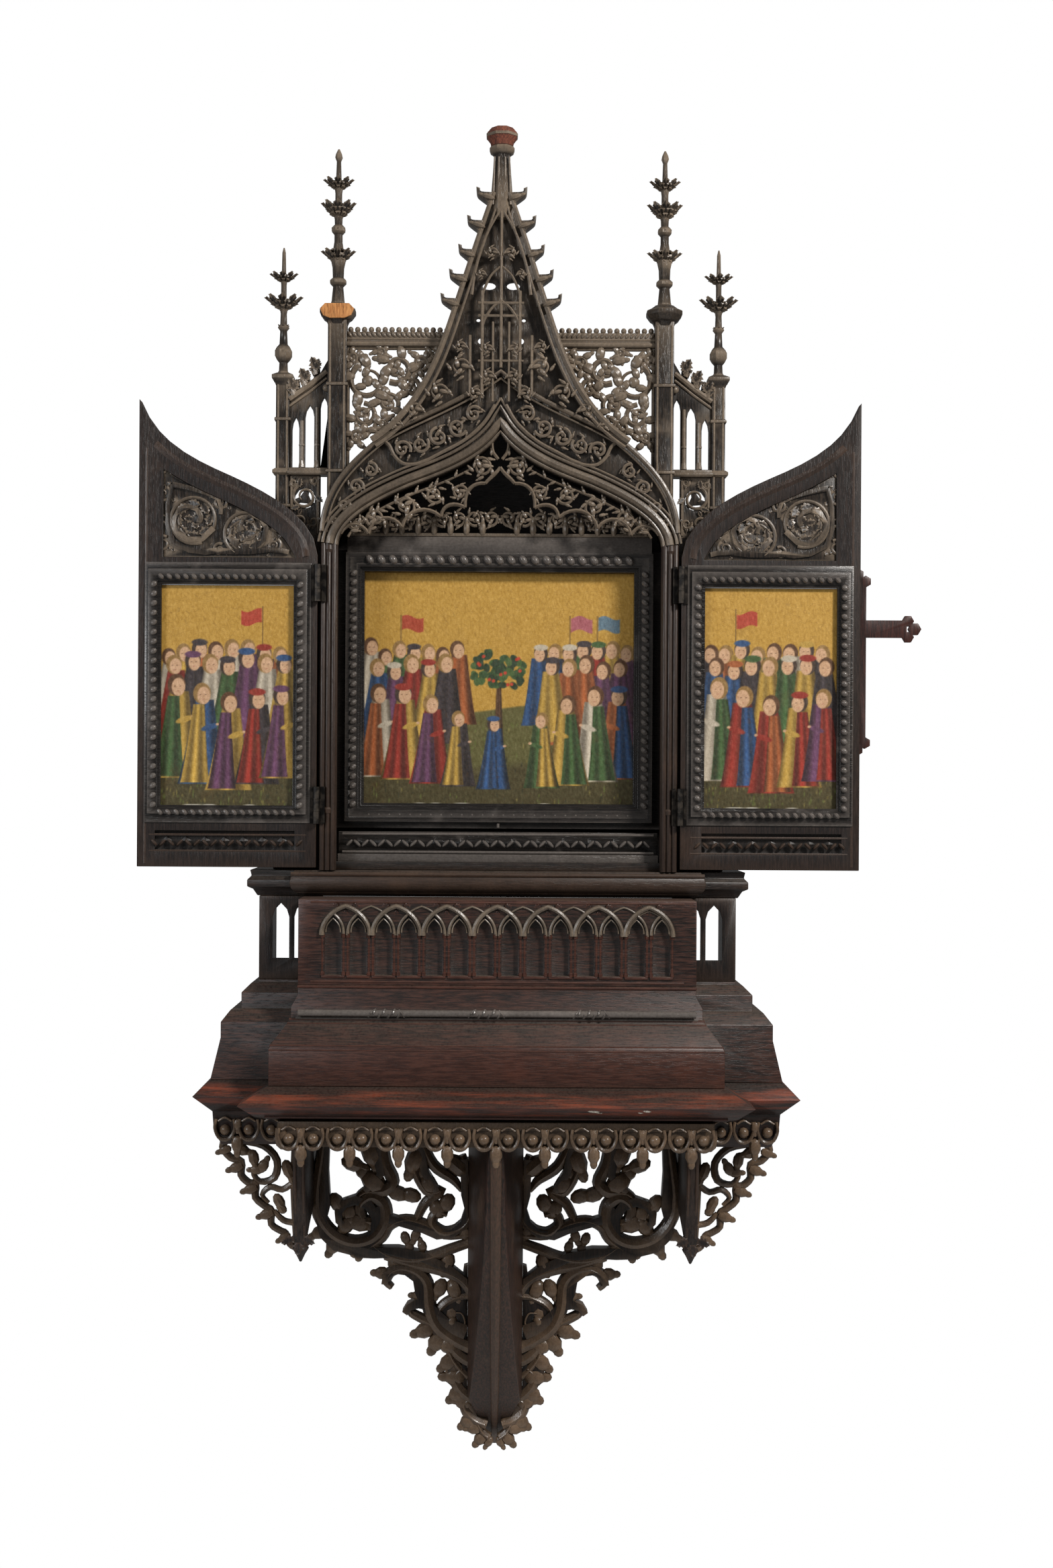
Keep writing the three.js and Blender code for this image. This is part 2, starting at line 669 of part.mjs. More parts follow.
// ---- The drop frieze under the shelf ----

const DROP_PITCH = 70;

// A board with pairs of round lobes and a pointed leaf along its lower edge, drawn from x = 0.
function dropOutline(units, pitch) {
  const top = SHELF_FOOT_Z - FIT_GAP;
  const path = new THREE.Shape();
  path.moveTo(0, top);
  path.lineTo(0, -672);
  for (let i = 0; i < units; i += 1) {
    const x = i * pitch;
    path.absarc(x + pitch * 0.22, -672, pitch * 0.2, Math.PI, 2 * Math.PI, false);
    path.lineTo(x + pitch * 0.5, -698);
    path.absarc(x + pitch * 0.78, -672, pitch * 0.2, Math.PI, 2 * Math.PI, false);
  }
  path.lineTo(units * pitch, -672);
  path.lineTo(units * pitch, top);
  return path;
}

function makeDropFrieze() {
  const half = 315;
  const front = board(dropOutline(9, DROP_PITCH), -270, -258, 2);
  front.translate(-half, 0, 0);
  const pieces = [front];
  for (const side of [-1, 1]) {
    pieces.push(sideBox(side, half - 12, half, -262, -194, -676, SHELF_FOOT_Z - FIT_GAP));
  }
  addPiece('drop_frieze', join(pieces), darkOak);
}

// ---- The bracket ----

const KEEL_HALF = 42;
const KEEL_TAPER_Z = -1095; // below this the keel narrows to its tip

// The front view of the keel, grown by a clearance.
function keelFace(grow) {
  const half = KEEL_HALF + grow;
  const top = SHELF_FOOT_Z - FIT_GAP;
  const tip = 3 + grow;
  const right = [at(half, top), at(half, KEEL_TAPER_Z), at(tip, BRACKET_TIP_Z)];
  return outline([...right, ...right.map((p) => at(-p.x, p.y)).reverse()]);
}

function makeKeel() {
  const top = SHELF_FOOT_Z - FIT_GAP;
  const side = new THREE.Shape();
  side.moveTo(0, top);
  side.lineTo(-240, top);
  side.lineTo(-240, BRACKET_TOP_Z);
  side.quadraticCurveTo(-205, -960, -30, BRACKET_TIP_Z);
  side.lineTo(0, BRACKET_TIP_Z);
  const planHalf = [at(KEEL_HALF, 0), at(KEEL_HALF, -70), at(12, -236), at(8, -241)];
  const plan = outline([...planHalf, ...planHalf.map((p) => at(-p.x, p.y)).reverse()]);
  const keel = solidOf(runAlongX(side, -50, 50, 6))
    .intersect(solidOf(raise(plan, BRACKET_TIP_Z - 1, top + 1)))
    .intersect(solidOf(board(keelFace(0), -250, 1)));
  addPiece('bracket_keel', keel, wornOak);
}

// Scrolls beside the keel, in a plane along the wall.
function makeBracketPanel(name, side) {
  const outerScroll = at(221, -834);
  const innerScroll = at(83, -815);
  // The stems: a line, and the width of its ribbon at either end.
  const stems = [
    [[at(250, -652), at(262, -700), at(264, -760), ...spiral(outerScroll, 46, 44, 30, -150, 6)], 16, 17],
    [spiral(outerScroll, 44, 14, -150, -400, 7), 17, 10],
    [[at(48, -740), ...spiral(innerScroll, 42, 42, 150, 310, 5), at(163, -832), at(180, -812)], 13, 12],
    [smooth([at(42.4, -930), at(80, -903), at(130, -884), at(176, -884), at(215, -882)], 5), 12, 18],
    [smooth([at(44, -1004), at(87, -985), at(111, -950), at(118, -922)], 4), 22, 16],
    [smooth([at(118, -922), at(142, -908), at(164, -914), at(169, -932)], 4), 16, 10],
    [smooth([at(104, -962), at(126, -962), at(138, -976)], 3), 16, 9],
    [[at(120, -652), at(118, -716), at(108, -762), at(90, -790)], 16, 10],
    [[at(180, -652), at(184, -720), at(176, -764), at(200, -790)], 18, 10],
  ];
  // The leaf that hangs beside the keel, with a lobe at each bend of its edge.
  const lowerLeaf = [
    at(36, -900), at(48, -904), at(54, -950), at(84, -968), at(101, -996), at(86, -1022), at(68, -1036),
    at(77, -1058), at(72, -1082), at(56, -1096), at(58, -1118), at(40, -1130), at(30, -1156), at(10, -1156),
    at(36, -1000),
  ];
  const openings = [
    spiral(at(66, -988), 11, 11, 0, 300, 5), leaf(at(58, -1044), 34, 12, 60), leaf(at(54, -1082), 24, 9, 65),
  ];
  const pieces = stems.map(([line, start, end]) => (
    piercedBoard(ribbon(line, start, end), [], -74, -50, side)
  ));
  pieces.push(piercedBoard(lowerLeaf, openings, -70, -52, side));
  pieces.push(sideBox(side, KEEL_HALF, 270, -66, -54, -664, SHELF_FOOT_Z - FIT_GAP));
  const clearance = solidOf(board(keelFace(FIT_GAP), -80, -40));
  addPiece(`${name}_bracket_panel`, join(pieces).subtract(clearance), dustyOak);
}

// A fin square to the wall under each corner of the breakfront, ending in a pendant.
function makeSideFin(name, side) {
  const top = SHELF_FOOT_Z - FIT_GAP;
  const profile = new THREE.Shape();
  profile.moveTo(0, top);
  profile.lineTo(-214, top);
  profile.lineTo(-214, -700);
  profile.quadraticCurveTo(-212, -780, -190, -836);
  profile.lineTo(-166, -836);
  profile.quadraticCurveTo(-120, -820, 0, -800);
  const xs = [side * 278, side * 296].sort((a, b) => a - b);
  const fin = runAlongX(profile, xs[0], xs[1], 4);
  const pendantProfile = [[-872, 1.5], [-860, 7], [-852, 12], [-846, 8], [-838, 11], [-832, 11]];
  addPiece(`${name}_side_fin`, join([fin, turned(pendantProfile, side * 287, -180, 8)]), darkOak);
}

// The small pierced bracket between the fin and the end of the shelf.
function makeOuterBracket(name, side) {
  const top = BRACKET_TOP_Z + 49.7;
  const underShelf = BRACKET_TOP_Z - 1;
  const points = [
    at(296.4, top), at(384, top), at(384, underShelf), at(412, underShelf), at(408, -724),
    at(388, -740), at(386, -766), at(366, -774), at(360, -800), at(340, -808), at(336, -838),
    at(316, -842), at(306, -868), at(296.4, -862),
  ];
  const openings = [
    leaf(at(362, -730), 40, 20, 20), leaf(at(330, -760), 42, 18, 70), leaf(at(316, -808), 34, 12, 80),
  ];
  addPiece(`${name}_outer_bracket`, piercedBoard(points, openings, -120, -102, side), dustyOak);
}

// ---- Gallery, pinnacles and buttress screens ----

const GALLERY_FRONT = -130.7;
const GALLERY_INNER = 56;
const GALLERY_OUTER = INNER_PINNACLE_X - 14 - FIT_GAP;

// A rail with a row of small teeth along its top.
function makeGalleryRail(name, side) {
  const teeth = 9;
  const points = [at(GALLERY_INNER, 488), at(GALLERY_OUTER, 488), at(GALLERY_OUTER, 512)];
  const pitch = (GALLERY_OUTER - 84) / teeth;
  for (let i = 0; i < teeth; i += 1) {
    const x = GALLERY_OUTER - i * pitch;
    points.push(at(x - pitch * 0.3, 518), at(x - pitch * 0.7, 518), at(x - pitch, 512));
  }
  points.push(at(GALLERY_INNER, 512));
  const rail = board(onSide(outline(points), side), GALLERY_FRONT, GALLERY_FRONT + 22);
  addPiece(`${name}_gallery_rail`, solidOf(rail), dustyOak);
}

function makeGalleryPanel(name, side) {
  const low = 300;
  const top = 488 - FIT_GAP;
  const sheet = [
    at(GALLERY_INNER, 420), at(150, low), at(GALLERY_OUTER, low), at(GALLERY_OUTER, top),
    at(GALLERY_INNER, top),
  ];
  const holes = [
    ...scrollPiercing(at(198, 446), 28, 95),
    ...scrollPiercing(at(152, 460), 21, 30),
    ...scrollPiercing(at(206, 384), 21, 60),
    ...scrollPiercing(at(152, 412), 17, 0),
    ...scrollPiercing(at(113, 466), 12, 90),
  ];
  const panel = piercedBoard(sheet, holes, GALLERY_FRONT + 4, GALLERY_FRONT + 16, side);
  addPiece(`${name}_gallery_panel`, panel, dustyOak);
}

function makeInnerPinnacle(name, side, capBroken) {
  const x = side * INNER_PINNACLE_X;
  const y = INNER_PINNACLE_Y;
  const shaft = turned([[262, 14], [524, 14], [532, 20], [536, 27], [546, 27], [550, 17]], x, y, 4);
  const cap = turned([[528, 22], [538, 27], [548, 27], [554, 15]], x, y, 8);
  const finial = turned([
    [549, 9], [580, 7.5], [585, 13], [590, 8], [606, 9], [628, 28], [637, 10], [656, 7], [664, 11], [671, 6],
    [682, 9], [695, 29], [702, 8], [718, 7], [733, 25], [741, 6], [768, 3.5], [776, 6], [785, 2],
  ], x, y, 8);
  const lost = box(x - 40, x + 40, y - 60, y - 19, 529, 560);
  const whole = join([shaft, cap, finial]);
  addPiece(`${name}_inner_pinnacle`, capBroken ? whole.subtract(solidOf(lost)) : whole, dustyOak);
}

function makeOuterPinnacle(name, side) {
  const x = side * OUTER_PINNACLE_X;
  const foot = 205;
  const shaft = turned([[foot, 10], [436, 10], [440, 16], [446, 16], [450, 8]], x, OUTER_PINNACLE_Y, 4);
  const finial = turned([
    [449, 6], [468, 6], [474, 13], [486, 13], [492, 6], [512, 5], [521, 9], [530, 5], [541, 8], [557, 31],
    [564, 7], [582, 6], [595, 22], [602, 5], [632, 3.5], [640, 1.5],
  ], x, OUTER_PINNACLE_Y, 8);
  addPiece(`${name}_outer_pinnacle`, join([shaft, finial]), dustyOak);
}

// Two colonnettes under a raking crocketed rail, standing on the string course.
function makeButtressScreen(name, side) {
  const inner = INNER_PINNACLE_X + 14 + FIT_GAP;
  const outer = OUTER_PINNACLE_X - 10 - FIT_GAP;
  const points = [at(inner, 296), at(outer, 296), at(outer, 412)];
  const rake = (x) => 412 + ((outer - x) * 46) / (outer - inner);
  for (const x of [306, 291, 276]) {
    points.push(at(x + 6, rake(x + 6)), at(x + 4, rake(x) + 17));
    points.push(at(x - 2, rake(x) + 20), at(x - 4, rake(x - 4) + 2));
  }
  points.push(at(inner, rake(inner) + 14));
  const lights = [
    lancet(308.5, 5.5, 308, 366, 384), lancet(287.5, 7, 308, 384, 402), lancet(266, 5.5, 308, 398, 414),
  ];
  const screen = piercedBoard(points, lights, OUTER_PINNACLE_Y - 6, OUTER_PINNACLE_Y + 6, side);
  const stringCourse = sideBox(side, inner, outer, OUTER_PINNACLE_Y - 16, OUTER_PINNACLE_Y + 12, 296, 306);
  addPiece(`${name}_buttress_screen`, join([screen, stringCourse]), dustyOak);
}

function makeSideScroll(name, side) {
  const inner = POST_OUTER + 4;
  const outer = OUTER_PINNACLE_X - 10 - FIT_GAP;
  const rectangle = [at(inner, 205), at(outer, 205), at(outer, 296 - FIT_GAP), at(inner, 296 - FIT_GAP)];
  const holes = scrollPiercing(at(294, 262), 21, 40);
  holes.push(leaf(at(302, 224), 20, 9, 20));
  addPiece(
    `${name}_side_scroll_panel`,
    piercedBoard(rectangle, holes, OUTER_PINNACLE_Y - 6, OUTER_PINNACLE_Y + 6, side),
    dustyOak,
  );
}

// ---- The wings ----

// Points on a wing are given by distance from its hinge axis; these place them beside the case.
const onWing = (points) => points.map((p) => at(HINGE_X + p.x, p.y));
const wingBoard = (points, openings, front, back, side) => (
  piercedBoard(onWing(points), openings.map(onWing), front, back, side)
);

// The top edge of a wing, set in from its outline, from near the hinge to the free edge.
function wingTop(inset, nearEdge, farEdge, steps) {
  const line = offsetLine(wingCurve, -inset, steps).map((p) => at(HINGE_X - p.x, p.y));
  return line.filter((p) => p.x > nearEdge && p.x < farEdge);
}

const WING_BORDER = 38;
const WING_PICTURE = { near: 36, far: 233, low: -201, top: 128 };
const rectangleOf = (near, far, low, top) => [at(near, low), at(far, low), at(far, top), at(near, top)];

// The field over the wing's picture, inside the border, drawn in by an inset.
function tympanumOutline(inset) {
  const near = 34 + inset;
  const far = 231 - inset;
  const foot = 168 + inset;
  const top = wingTop(WING_BORDER + inset, near, far - 1, 14).filter((p) => p.y > foot + 2);
  const [before, last] = top.slice(-2);
  const slope = (last.y - before.y) / (last.x - before.x);
  return [at(near, foot), at(far, foot), at(far, last.y + slope * (far - last.x)), ...top.reverse()];
}

function makeWing(name, side) {
  const steps = 14;
  const edge = [at(WING_EDGE, WING_LOW_Z), at(WING_WIDTH, WING_LOW_Z), at(WING_WIDTH, 403)];
  const whole = [...edge, ...wingTop(0, WING_EDGE - 0.5, WING_WIDTH - 1, steps).reverse()];
  const picture = rectangleOf(WING_PICTURE.near, WING_PICTURE.far, WING_PICTURE.low, WING_PICTURE.top);
  const frieze = rectangleOf(33, 241, -270, -239);
  const base = wingBoard(whole, [], -144, WING_BACK, side);
  const front = wingBoard(whole, [tympanumOutline(0), picture, frieze], WING_FRONT, -143, side);
  const pocket = wingBoard(rectangleOf(32, 237, -205, 132), [], -144.6, -137, side);
  const xs = [side * (HINGE_X + 37), side * (HINGE_X + 237)].sort((a, b) => a - b);
  let wing = base.add(front).subtract(pocket);
  for (const stud of studs(xs[0], xs[1], -254.5, 14, 7, -143.5)) {
    wing = wing.add(solidOf(stud));
  }
  addPiece(`${name}_wing`, wing, darkOak);

  const scrolls = [
    [spiral(at(190, 224), 36, 12, 200, 560, 9), 9, 6],
    [spiral(at(102, 212), 34, 12, 340, -20, 9), 9, 6],
    [smooth([at(150, 178), at(180, 176), at(216, 190), at(226, 230), at(218, 276)], 6), 9, 6],
    [smooth([at(150, 178), at(110, 176), at(66, 180), at(44, 176)], 5), 9, 7],
    [smooth([at(218, 276), at(190, 270), at(150, 256), at(146, 232)], 6), 8, 6],
  ];
  const relief = scrolls.map(([line, start, end]) => (
    wingBoard(ribbon(line, start, end), [], -149, -145.5, side)
  ));
  relief.push(wingBoard(tympanumOutline(2 * FIT_GAP), [], -146, -144 - FIT_GAP, side));
  const field = wingBoard(tympanumOutline(2 * FIT_GAP), [], -150, -144 - FIT_GAP, side);
  addPiece(`${name}_wing_tympanum`, join(relief).intersect(field), darkOak);
}

// A closed outline with its corners drawn in towards its middle.
function shrink(points, distance) {
  const centre = points.reduce((sum, p) => sum.add(p), at(0, 0)).divideScalar(points.length);
  return points.map((p) => p.clone().add(centre.clone().sub(p).normalize().multiplyScalar(distance)));
}

function makeWingPicture(name, side) {
  const { near, far, low, top } = WING_PICTURE;
  const opening = rectangleOf(near, far, low, top);
  const back = WING_FRONT - FIT_GAP;
  addPiece(`${name}_wing_picture_frame`, join([
    wingBoard(rectangleOf(10, 257, -227, 160), [opening], -152.5, back, side),
    wingBoard(rectangleOf(16, 252, -214, 150), [rectangleOf(31, 238, -205, 132)], -156, -152, side),
  ]), darkOak);
  const panel = shrink(rectangleOf(32, 237, -205, 132), 2 * FIT_GAP);
  addPiece(`${name}_wing_painting`, wingBoard(panel, [], -144, -137 - FIT_GAP, side), goldPanel);
}

// A butt hinge: the leaf on the case holds the middle knuckle and the leaf on the wing the two end ones.
function makeHinge(name, side, height, place) {
  const pitch = KNUCKLE_LENGTH + KNUCKLE_GAP;
  const knuckle = (z) => {
    const barrel = new THREE.CylinderGeometry(KNUCKLE_RADIUS, KNUCKLE_RADIUS, KNUCKLE_LENGTH, 8);
    barrel.rotateX(Math.PI / 2);
    barrel.translate(side * HINGE_X, HINGE_Y, z);
    return barrel;
  };
  const plate = (near, far, lowZ, highZ) => (
    sideBox(side, near, far, HINGE_Y + 4.4, WING_FRONT - FIT_GAP, lowZ, highZ)
  );
  const halfPlate = 1.5 * pitch - KNUCKLE_GAP / 2;
  const half = KNUCKLE_LENGTH / 2;
  addPiece(`${name}_hinge_case_leaf_${place}`, join([
    knuckle(height),
    plate(HINGE_X - 10, HINGE_X, height - half, height + half),
    plate(HINGE_X - 12, HINGE_X - 5.6, height - halfPlate, height + halfPlate),
  ]), hingeIron);
  addPiece(`${name}_hinge_wing_leaf_${place}`, join([
    knuckle(height - pitch),
    knuckle(height + pitch),
    plate(HINGE_X, HINGE_X + 8, height - pitch - half, height - pitch + half),
    plate(HINGE_X, HINGE_X + 8, height + pitch - half, height + pitch + half),
    plate(HINGE_X + 5.6, HINGE_X + 9.6, height - halfPlate, height + halfPlate),
  ]), hingeIron);
}

// The cross that covers the gap between the closed wings. Its arms end in trefoils.
function makeCross() {
  const middle = HINGE_X + WING_WIDTH;
  const crossingZ = 69;
  const half = 13;
  const lobe = 12;
  const arms = [[0, 96], [90, 91], [180, 96], [270, 191]]; // direction and length from the crossing
  const pieces = [];
  for (const [direction, length] of arms) {
    const arm = outline([at(-1, -half), at(length - 22, -half), at(length - 22, half), at(-1, half)]);
    const lobes = [[length - 20, lobe, 9], [length - 20, -lobe, 9], [length - 10, 0, 10]];
    const flats = [arm, ...lobes.map(([u, v, r]) => outline(spiral(at(u, v), r, r, 0, 300, 5)))];
    for (const flat of flats) {
      const geometry = board(flat, WING_BACK + FIT_GAP, WING_BACK + 8);
      geometry.rotateY(-deg(direction));
      geometry.translate(middle, 0, crossingZ);
      pieces.push(geometry);
    }
  }
  addPiece('closing_cross', join(pieces), crossOak);
}

// ---- Assembly ----

makeCase();
makeArch();
makeArchTracery();
makeVaultTracery();
makeSpandrel();
makeGable();
makeSpireCap();
makePicture();
makeNicheFrieze();
makeSill();
makePredellaFront();
makePlinth();
makeRibbonRoll();
makeShelf();
makeDropFrieze();
makeKeel();
makeCross();
for (const [name, side] of [['left', -1], ['right', 1]]) {
  makeFlank(name, side);
  makePost(name, side);
  makePredellaScreen(name, side);
  makeBracketPanel(name, side);
  makeSideFin(name, side);
  makeOuterBracket(name, side);
  makeGalleryRail(name, side);
  makeGalleryPanel(name, side);
  makeInnerPinnacle(name, side, side < 0);
  makeOuterPinnacle(name, side);
  makeButtressScreen(name, side);
  makeSideScroll(name, side);
  makeWing(name, side);
  makeWingPicture(name, side);
  makeHinge(name, side, HINGE_HEIGHTS[0], 'upper');
  makeHinge(name, side, HINGE_HEIGHTS[1], 'lower');
}

export default altarpiece;
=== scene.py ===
# %% [markdown]
# # A carved oak triptych altarpiece
# The altarpiece hangs on a wall: a painted panel in a niche under an ogee arch, a pierced gable between
# pinnacles, two hinged wings, a small arcade, a stepped plinth and shelf, and a bracket of carved scrolls.
# The construction is already modelled to size, so this lesson first loads it as a fixed frame. It then
# carves and finishes each piece in its place, and hides the part of the frame that a piece stands for.
# %% Load the frame
import math

import bpy
import numpy as np
from mathutils import Matrix, Vector


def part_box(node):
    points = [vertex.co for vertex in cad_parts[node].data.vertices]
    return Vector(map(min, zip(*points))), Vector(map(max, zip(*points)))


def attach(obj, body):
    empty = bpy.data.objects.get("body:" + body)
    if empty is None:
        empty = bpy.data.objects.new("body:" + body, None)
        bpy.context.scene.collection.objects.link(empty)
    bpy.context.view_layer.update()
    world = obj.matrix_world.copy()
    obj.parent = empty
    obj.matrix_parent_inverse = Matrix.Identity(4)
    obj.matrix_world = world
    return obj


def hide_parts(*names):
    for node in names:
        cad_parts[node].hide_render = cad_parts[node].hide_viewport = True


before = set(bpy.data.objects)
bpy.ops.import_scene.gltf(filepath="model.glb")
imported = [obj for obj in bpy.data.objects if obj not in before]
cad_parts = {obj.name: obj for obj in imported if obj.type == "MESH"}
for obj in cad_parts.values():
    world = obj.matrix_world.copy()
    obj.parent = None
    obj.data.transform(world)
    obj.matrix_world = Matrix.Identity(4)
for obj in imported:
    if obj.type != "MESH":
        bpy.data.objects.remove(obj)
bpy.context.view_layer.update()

MM = 0.001

# %% [markdown]
# ## The camera, the light and the floor
# The object is seen from straight ahead at the height of its shelf's top, with a long lens, so that its
# uprights stay upright. A white world and a large soft lamp from the upper right give dark, waxed oak its
# grey sheen. The floor lies below the bracket's tip, because the object hangs.
# %% Camera, light and floor
CAMERA_Z = -0.167
CAMERA_DISTANCE = 3.15
CAMERA_LENS = 46.3  # mm, on a 36 mm long side
CAMERA_SHIFT = 0.018
CAMERA_ROLL = math.radians(-0.35)


def deselect_all():
    bpy.ops.object.select_all(action="DESELECT")


def choose(*things):
    """Selects only these objects, and makes the first one active."""
    deselect_all()
    for thing in things:
        thing.select_set(True)
    bpy.context.view_layer.objects.active = things[0]


def make_camera():
    deselect_all()
    bpy.ops.object.camera_add(
        location=(0, -CAMERA_DISTANCE, CAMERA_Z), rotation=(math.pi / 2, CAMERA_ROLL, 0)
    )
    camera = bpy.context.object
    camera.data.lens = CAMERA_LENS
    camera.data.sensor_width = 36
    camera.data.shift_x = CAMERA_SHIFT
    bpy.context.scene.camera = camera


def add_lamp(name, place, aim, width, height, power, colour):
    deselect_all()
    bpy.ops.object.light_add(type="AREA", location=place)
    lamp = bpy.context.object
    lamp.name = name
    lamp.data.shape = "RECTANGLE"
    lamp.data.size = width
    lamp.data.size_y = height
    lamp.data.energy = power
    lamp.data.color = colour
    lamp.rotation_euler = (Vector(aim) - Vector(place)).to_track_quat("-Z", "Y").to_euler()


def set_world(light, backdrop):
    """A white world that lights the object softly, and looks pure white behind it."""
    world = bpy.data.worlds.new("studio")
    world.use_nodes = True
    nodes, links = world.node_tree.nodes, world.node_tree.links
    path = nodes.new("ShaderNodeLightPath")
    strength = nodes.new("ShaderNodeMapRange")
    strength.inputs["To Min"].default_value = light
    strength.inputs["To Max"].default_value = backdrop
    links.new(path.outputs["Is Camera Ray"], strength.inputs["Value"])
    links.new(strength.outputs[0], nodes["Background"].inputs["Strength"])
    nodes["Background"].inputs["Color"].default_value = (1, 1, 1, 1)
    bpy.context.scene.world = world


make_camera()
set_world(0.17, 1.0)
add_lamp("key_lamp", (2.4, -2.6, 2.1), (0, -0.1, 0.0), 0.6, 0.6, 145, (1.0, 0.97, 0.93))
add_lamp("fill_lamp", (-2.6, -2.4, 0.6), (0, -0.1, -0.3), 1.0, 1.0, 40, (0.94, 0.97, 1.0))
bpy.context.scene.view_settings.view_transform = "Standard"
bpy.context.scene.view_settings.look = "None"

FLOOR_Z = -2.4
deselect_all()
bpy.ops.mesh.primitive_plane_add(size=5, location=(0, -0.2, FLOOR_Z))
floor = bpy.context.object
floor.name = "floor"
print("camera, two lamps and a floor")

# %% [markdown]
# ## Shader arithmetic
# A finish is worked out from a few patterns: where the grain runs, where dust lies, where hands have worn
# the stain away. Written as node links that is hard to read, so a small class wraps a node's output and lets
# the finishes be written as sums and products.
# %% Shader arithmetic


class Value:
    """One output of a shader node, with the arithmetic that the finishes use."""

    def __init__(self, tree, socket=None):
        self.tree = tree
        self.socket = socket

    def node(self, kind, settings=None, inputs=None, out=0):
        """Adds a node with its settings and inputs, and returns one of its outputs."""
        made = self.tree.nodes.new("ShaderNode" + kind)
        for name, setting in (settings or {}).items():
            setattr(made, name, setting)
        for name, value in (inputs or {}).items():
            self.plug(made.inputs[name], value)
        return Value(self.tree, made.outputs[out])

    def plug(self, socket, value):
        if isinstance(value, Value):
            self.tree.links.new(value.socket, socket)
        else:
            socket.default_value = value

    def math(self, operation, first, second=0.0, clamp=False):
        settings = {"operation": operation, "use_clamp": clamp}
        return self.node("Math", settings, {0: first, 1: second})

    def __add__(self, other):
        return self.math("ADD", self, other)

    def __radd__(self, other):
        return self.math("ADD", other, self)

    def __sub__(self, other):
        return self.math("SUBTRACT", self, other)

    def __rsub__(self, other):
        return self.math("SUBTRACT", other, self)

    def __mul__(self, other):
        return self.math("MULTIPLY", self, other)

    def __rmul__(self, other):
        return self.math("MULTIPLY", other, self)

    def clamped(self):
        return self.math("ADD", self, 0.0, clamp=True)

    def step(self, low, high):
        """Rises smoothly from 0 at low to 1 at high."""
        inputs = {"Value": self, "From Min": low, "From Max": high}
        return self.node("MapRange", {"interpolation_type": "SMOOTHSTEP"}, inputs)

    def mix(self, factor, first, second):
        """A colour between two colours."""
        inputs = {0: factor, 6: first, 7: second}
        return self.node("Mix", {"data_type": "RGBA"}, inputs, out=2)

    def stretched(self, scale):
        """Coordinates with a scale of their own along each axis."""
        return self.node("Mapping", None, {"Vector": self, "Scale": scale})

    def noise(self, coordinates, scale, detail=3.0, roughness=0.5):
        inputs = {"Vector": coordinates, "Scale": scale, "Detail": detail, "Roughness": roughness}
        return self.node("TexNoise", None, inputs)


def new_material(name):
    """A material with its surface shader and output, and the object's coordinates."""
    material = bpy.data.materials.new(name)
    material.use_nodes = True
    tree = material.node_tree
    shader = tree.nodes["Principled BSDF"]
    coordinates = Value(tree).node("TexCoord", out=3)
    return material, shader, coordinates


def linear(red, green, blue):
    """A colour from its 0 to 255 screen values."""
    values = [channel / 255 for channel in (red, green, blue)]
    return tuple(v / 12.92 if v <= 0.04045 else ((v + 0.055) / 1.055) ** 2.4 for v in values) + (1.0,)


print("shader arithmetic is ready")

# %% [markdown]
# ## Old stained oak
# The oak was stained nearly black, waxed, and has hung for a century. Its grain runs along the boards as
# fine streaks with open pores. Dust has settled grey-brown in hollows and on ledges, and edges that hands
# reach are rubbed back to brown; that lighter colour on sharp edges is partly a painted highlight. Deep
# hollows get painted shade, a colour darkened toward black. One function makes the wood in several tones:
# for the plain joinery, for the dusty carving above, for the plinth and shelf that are worn red-brown, and
# for bare breaks.
# %% Old stained oak


GREY_DUST = linear(116, 104, 92)
# The near-black colour of the painted shade in hollows.
PAINTED_HOLLOW_SHADE = (0.0035, 0.003, 0.0028, 1.0)
ALONG_GRAIN = {"upright": (1.0, 1.0, 0.09), "level": (0.09, 1.0, 1.0)}


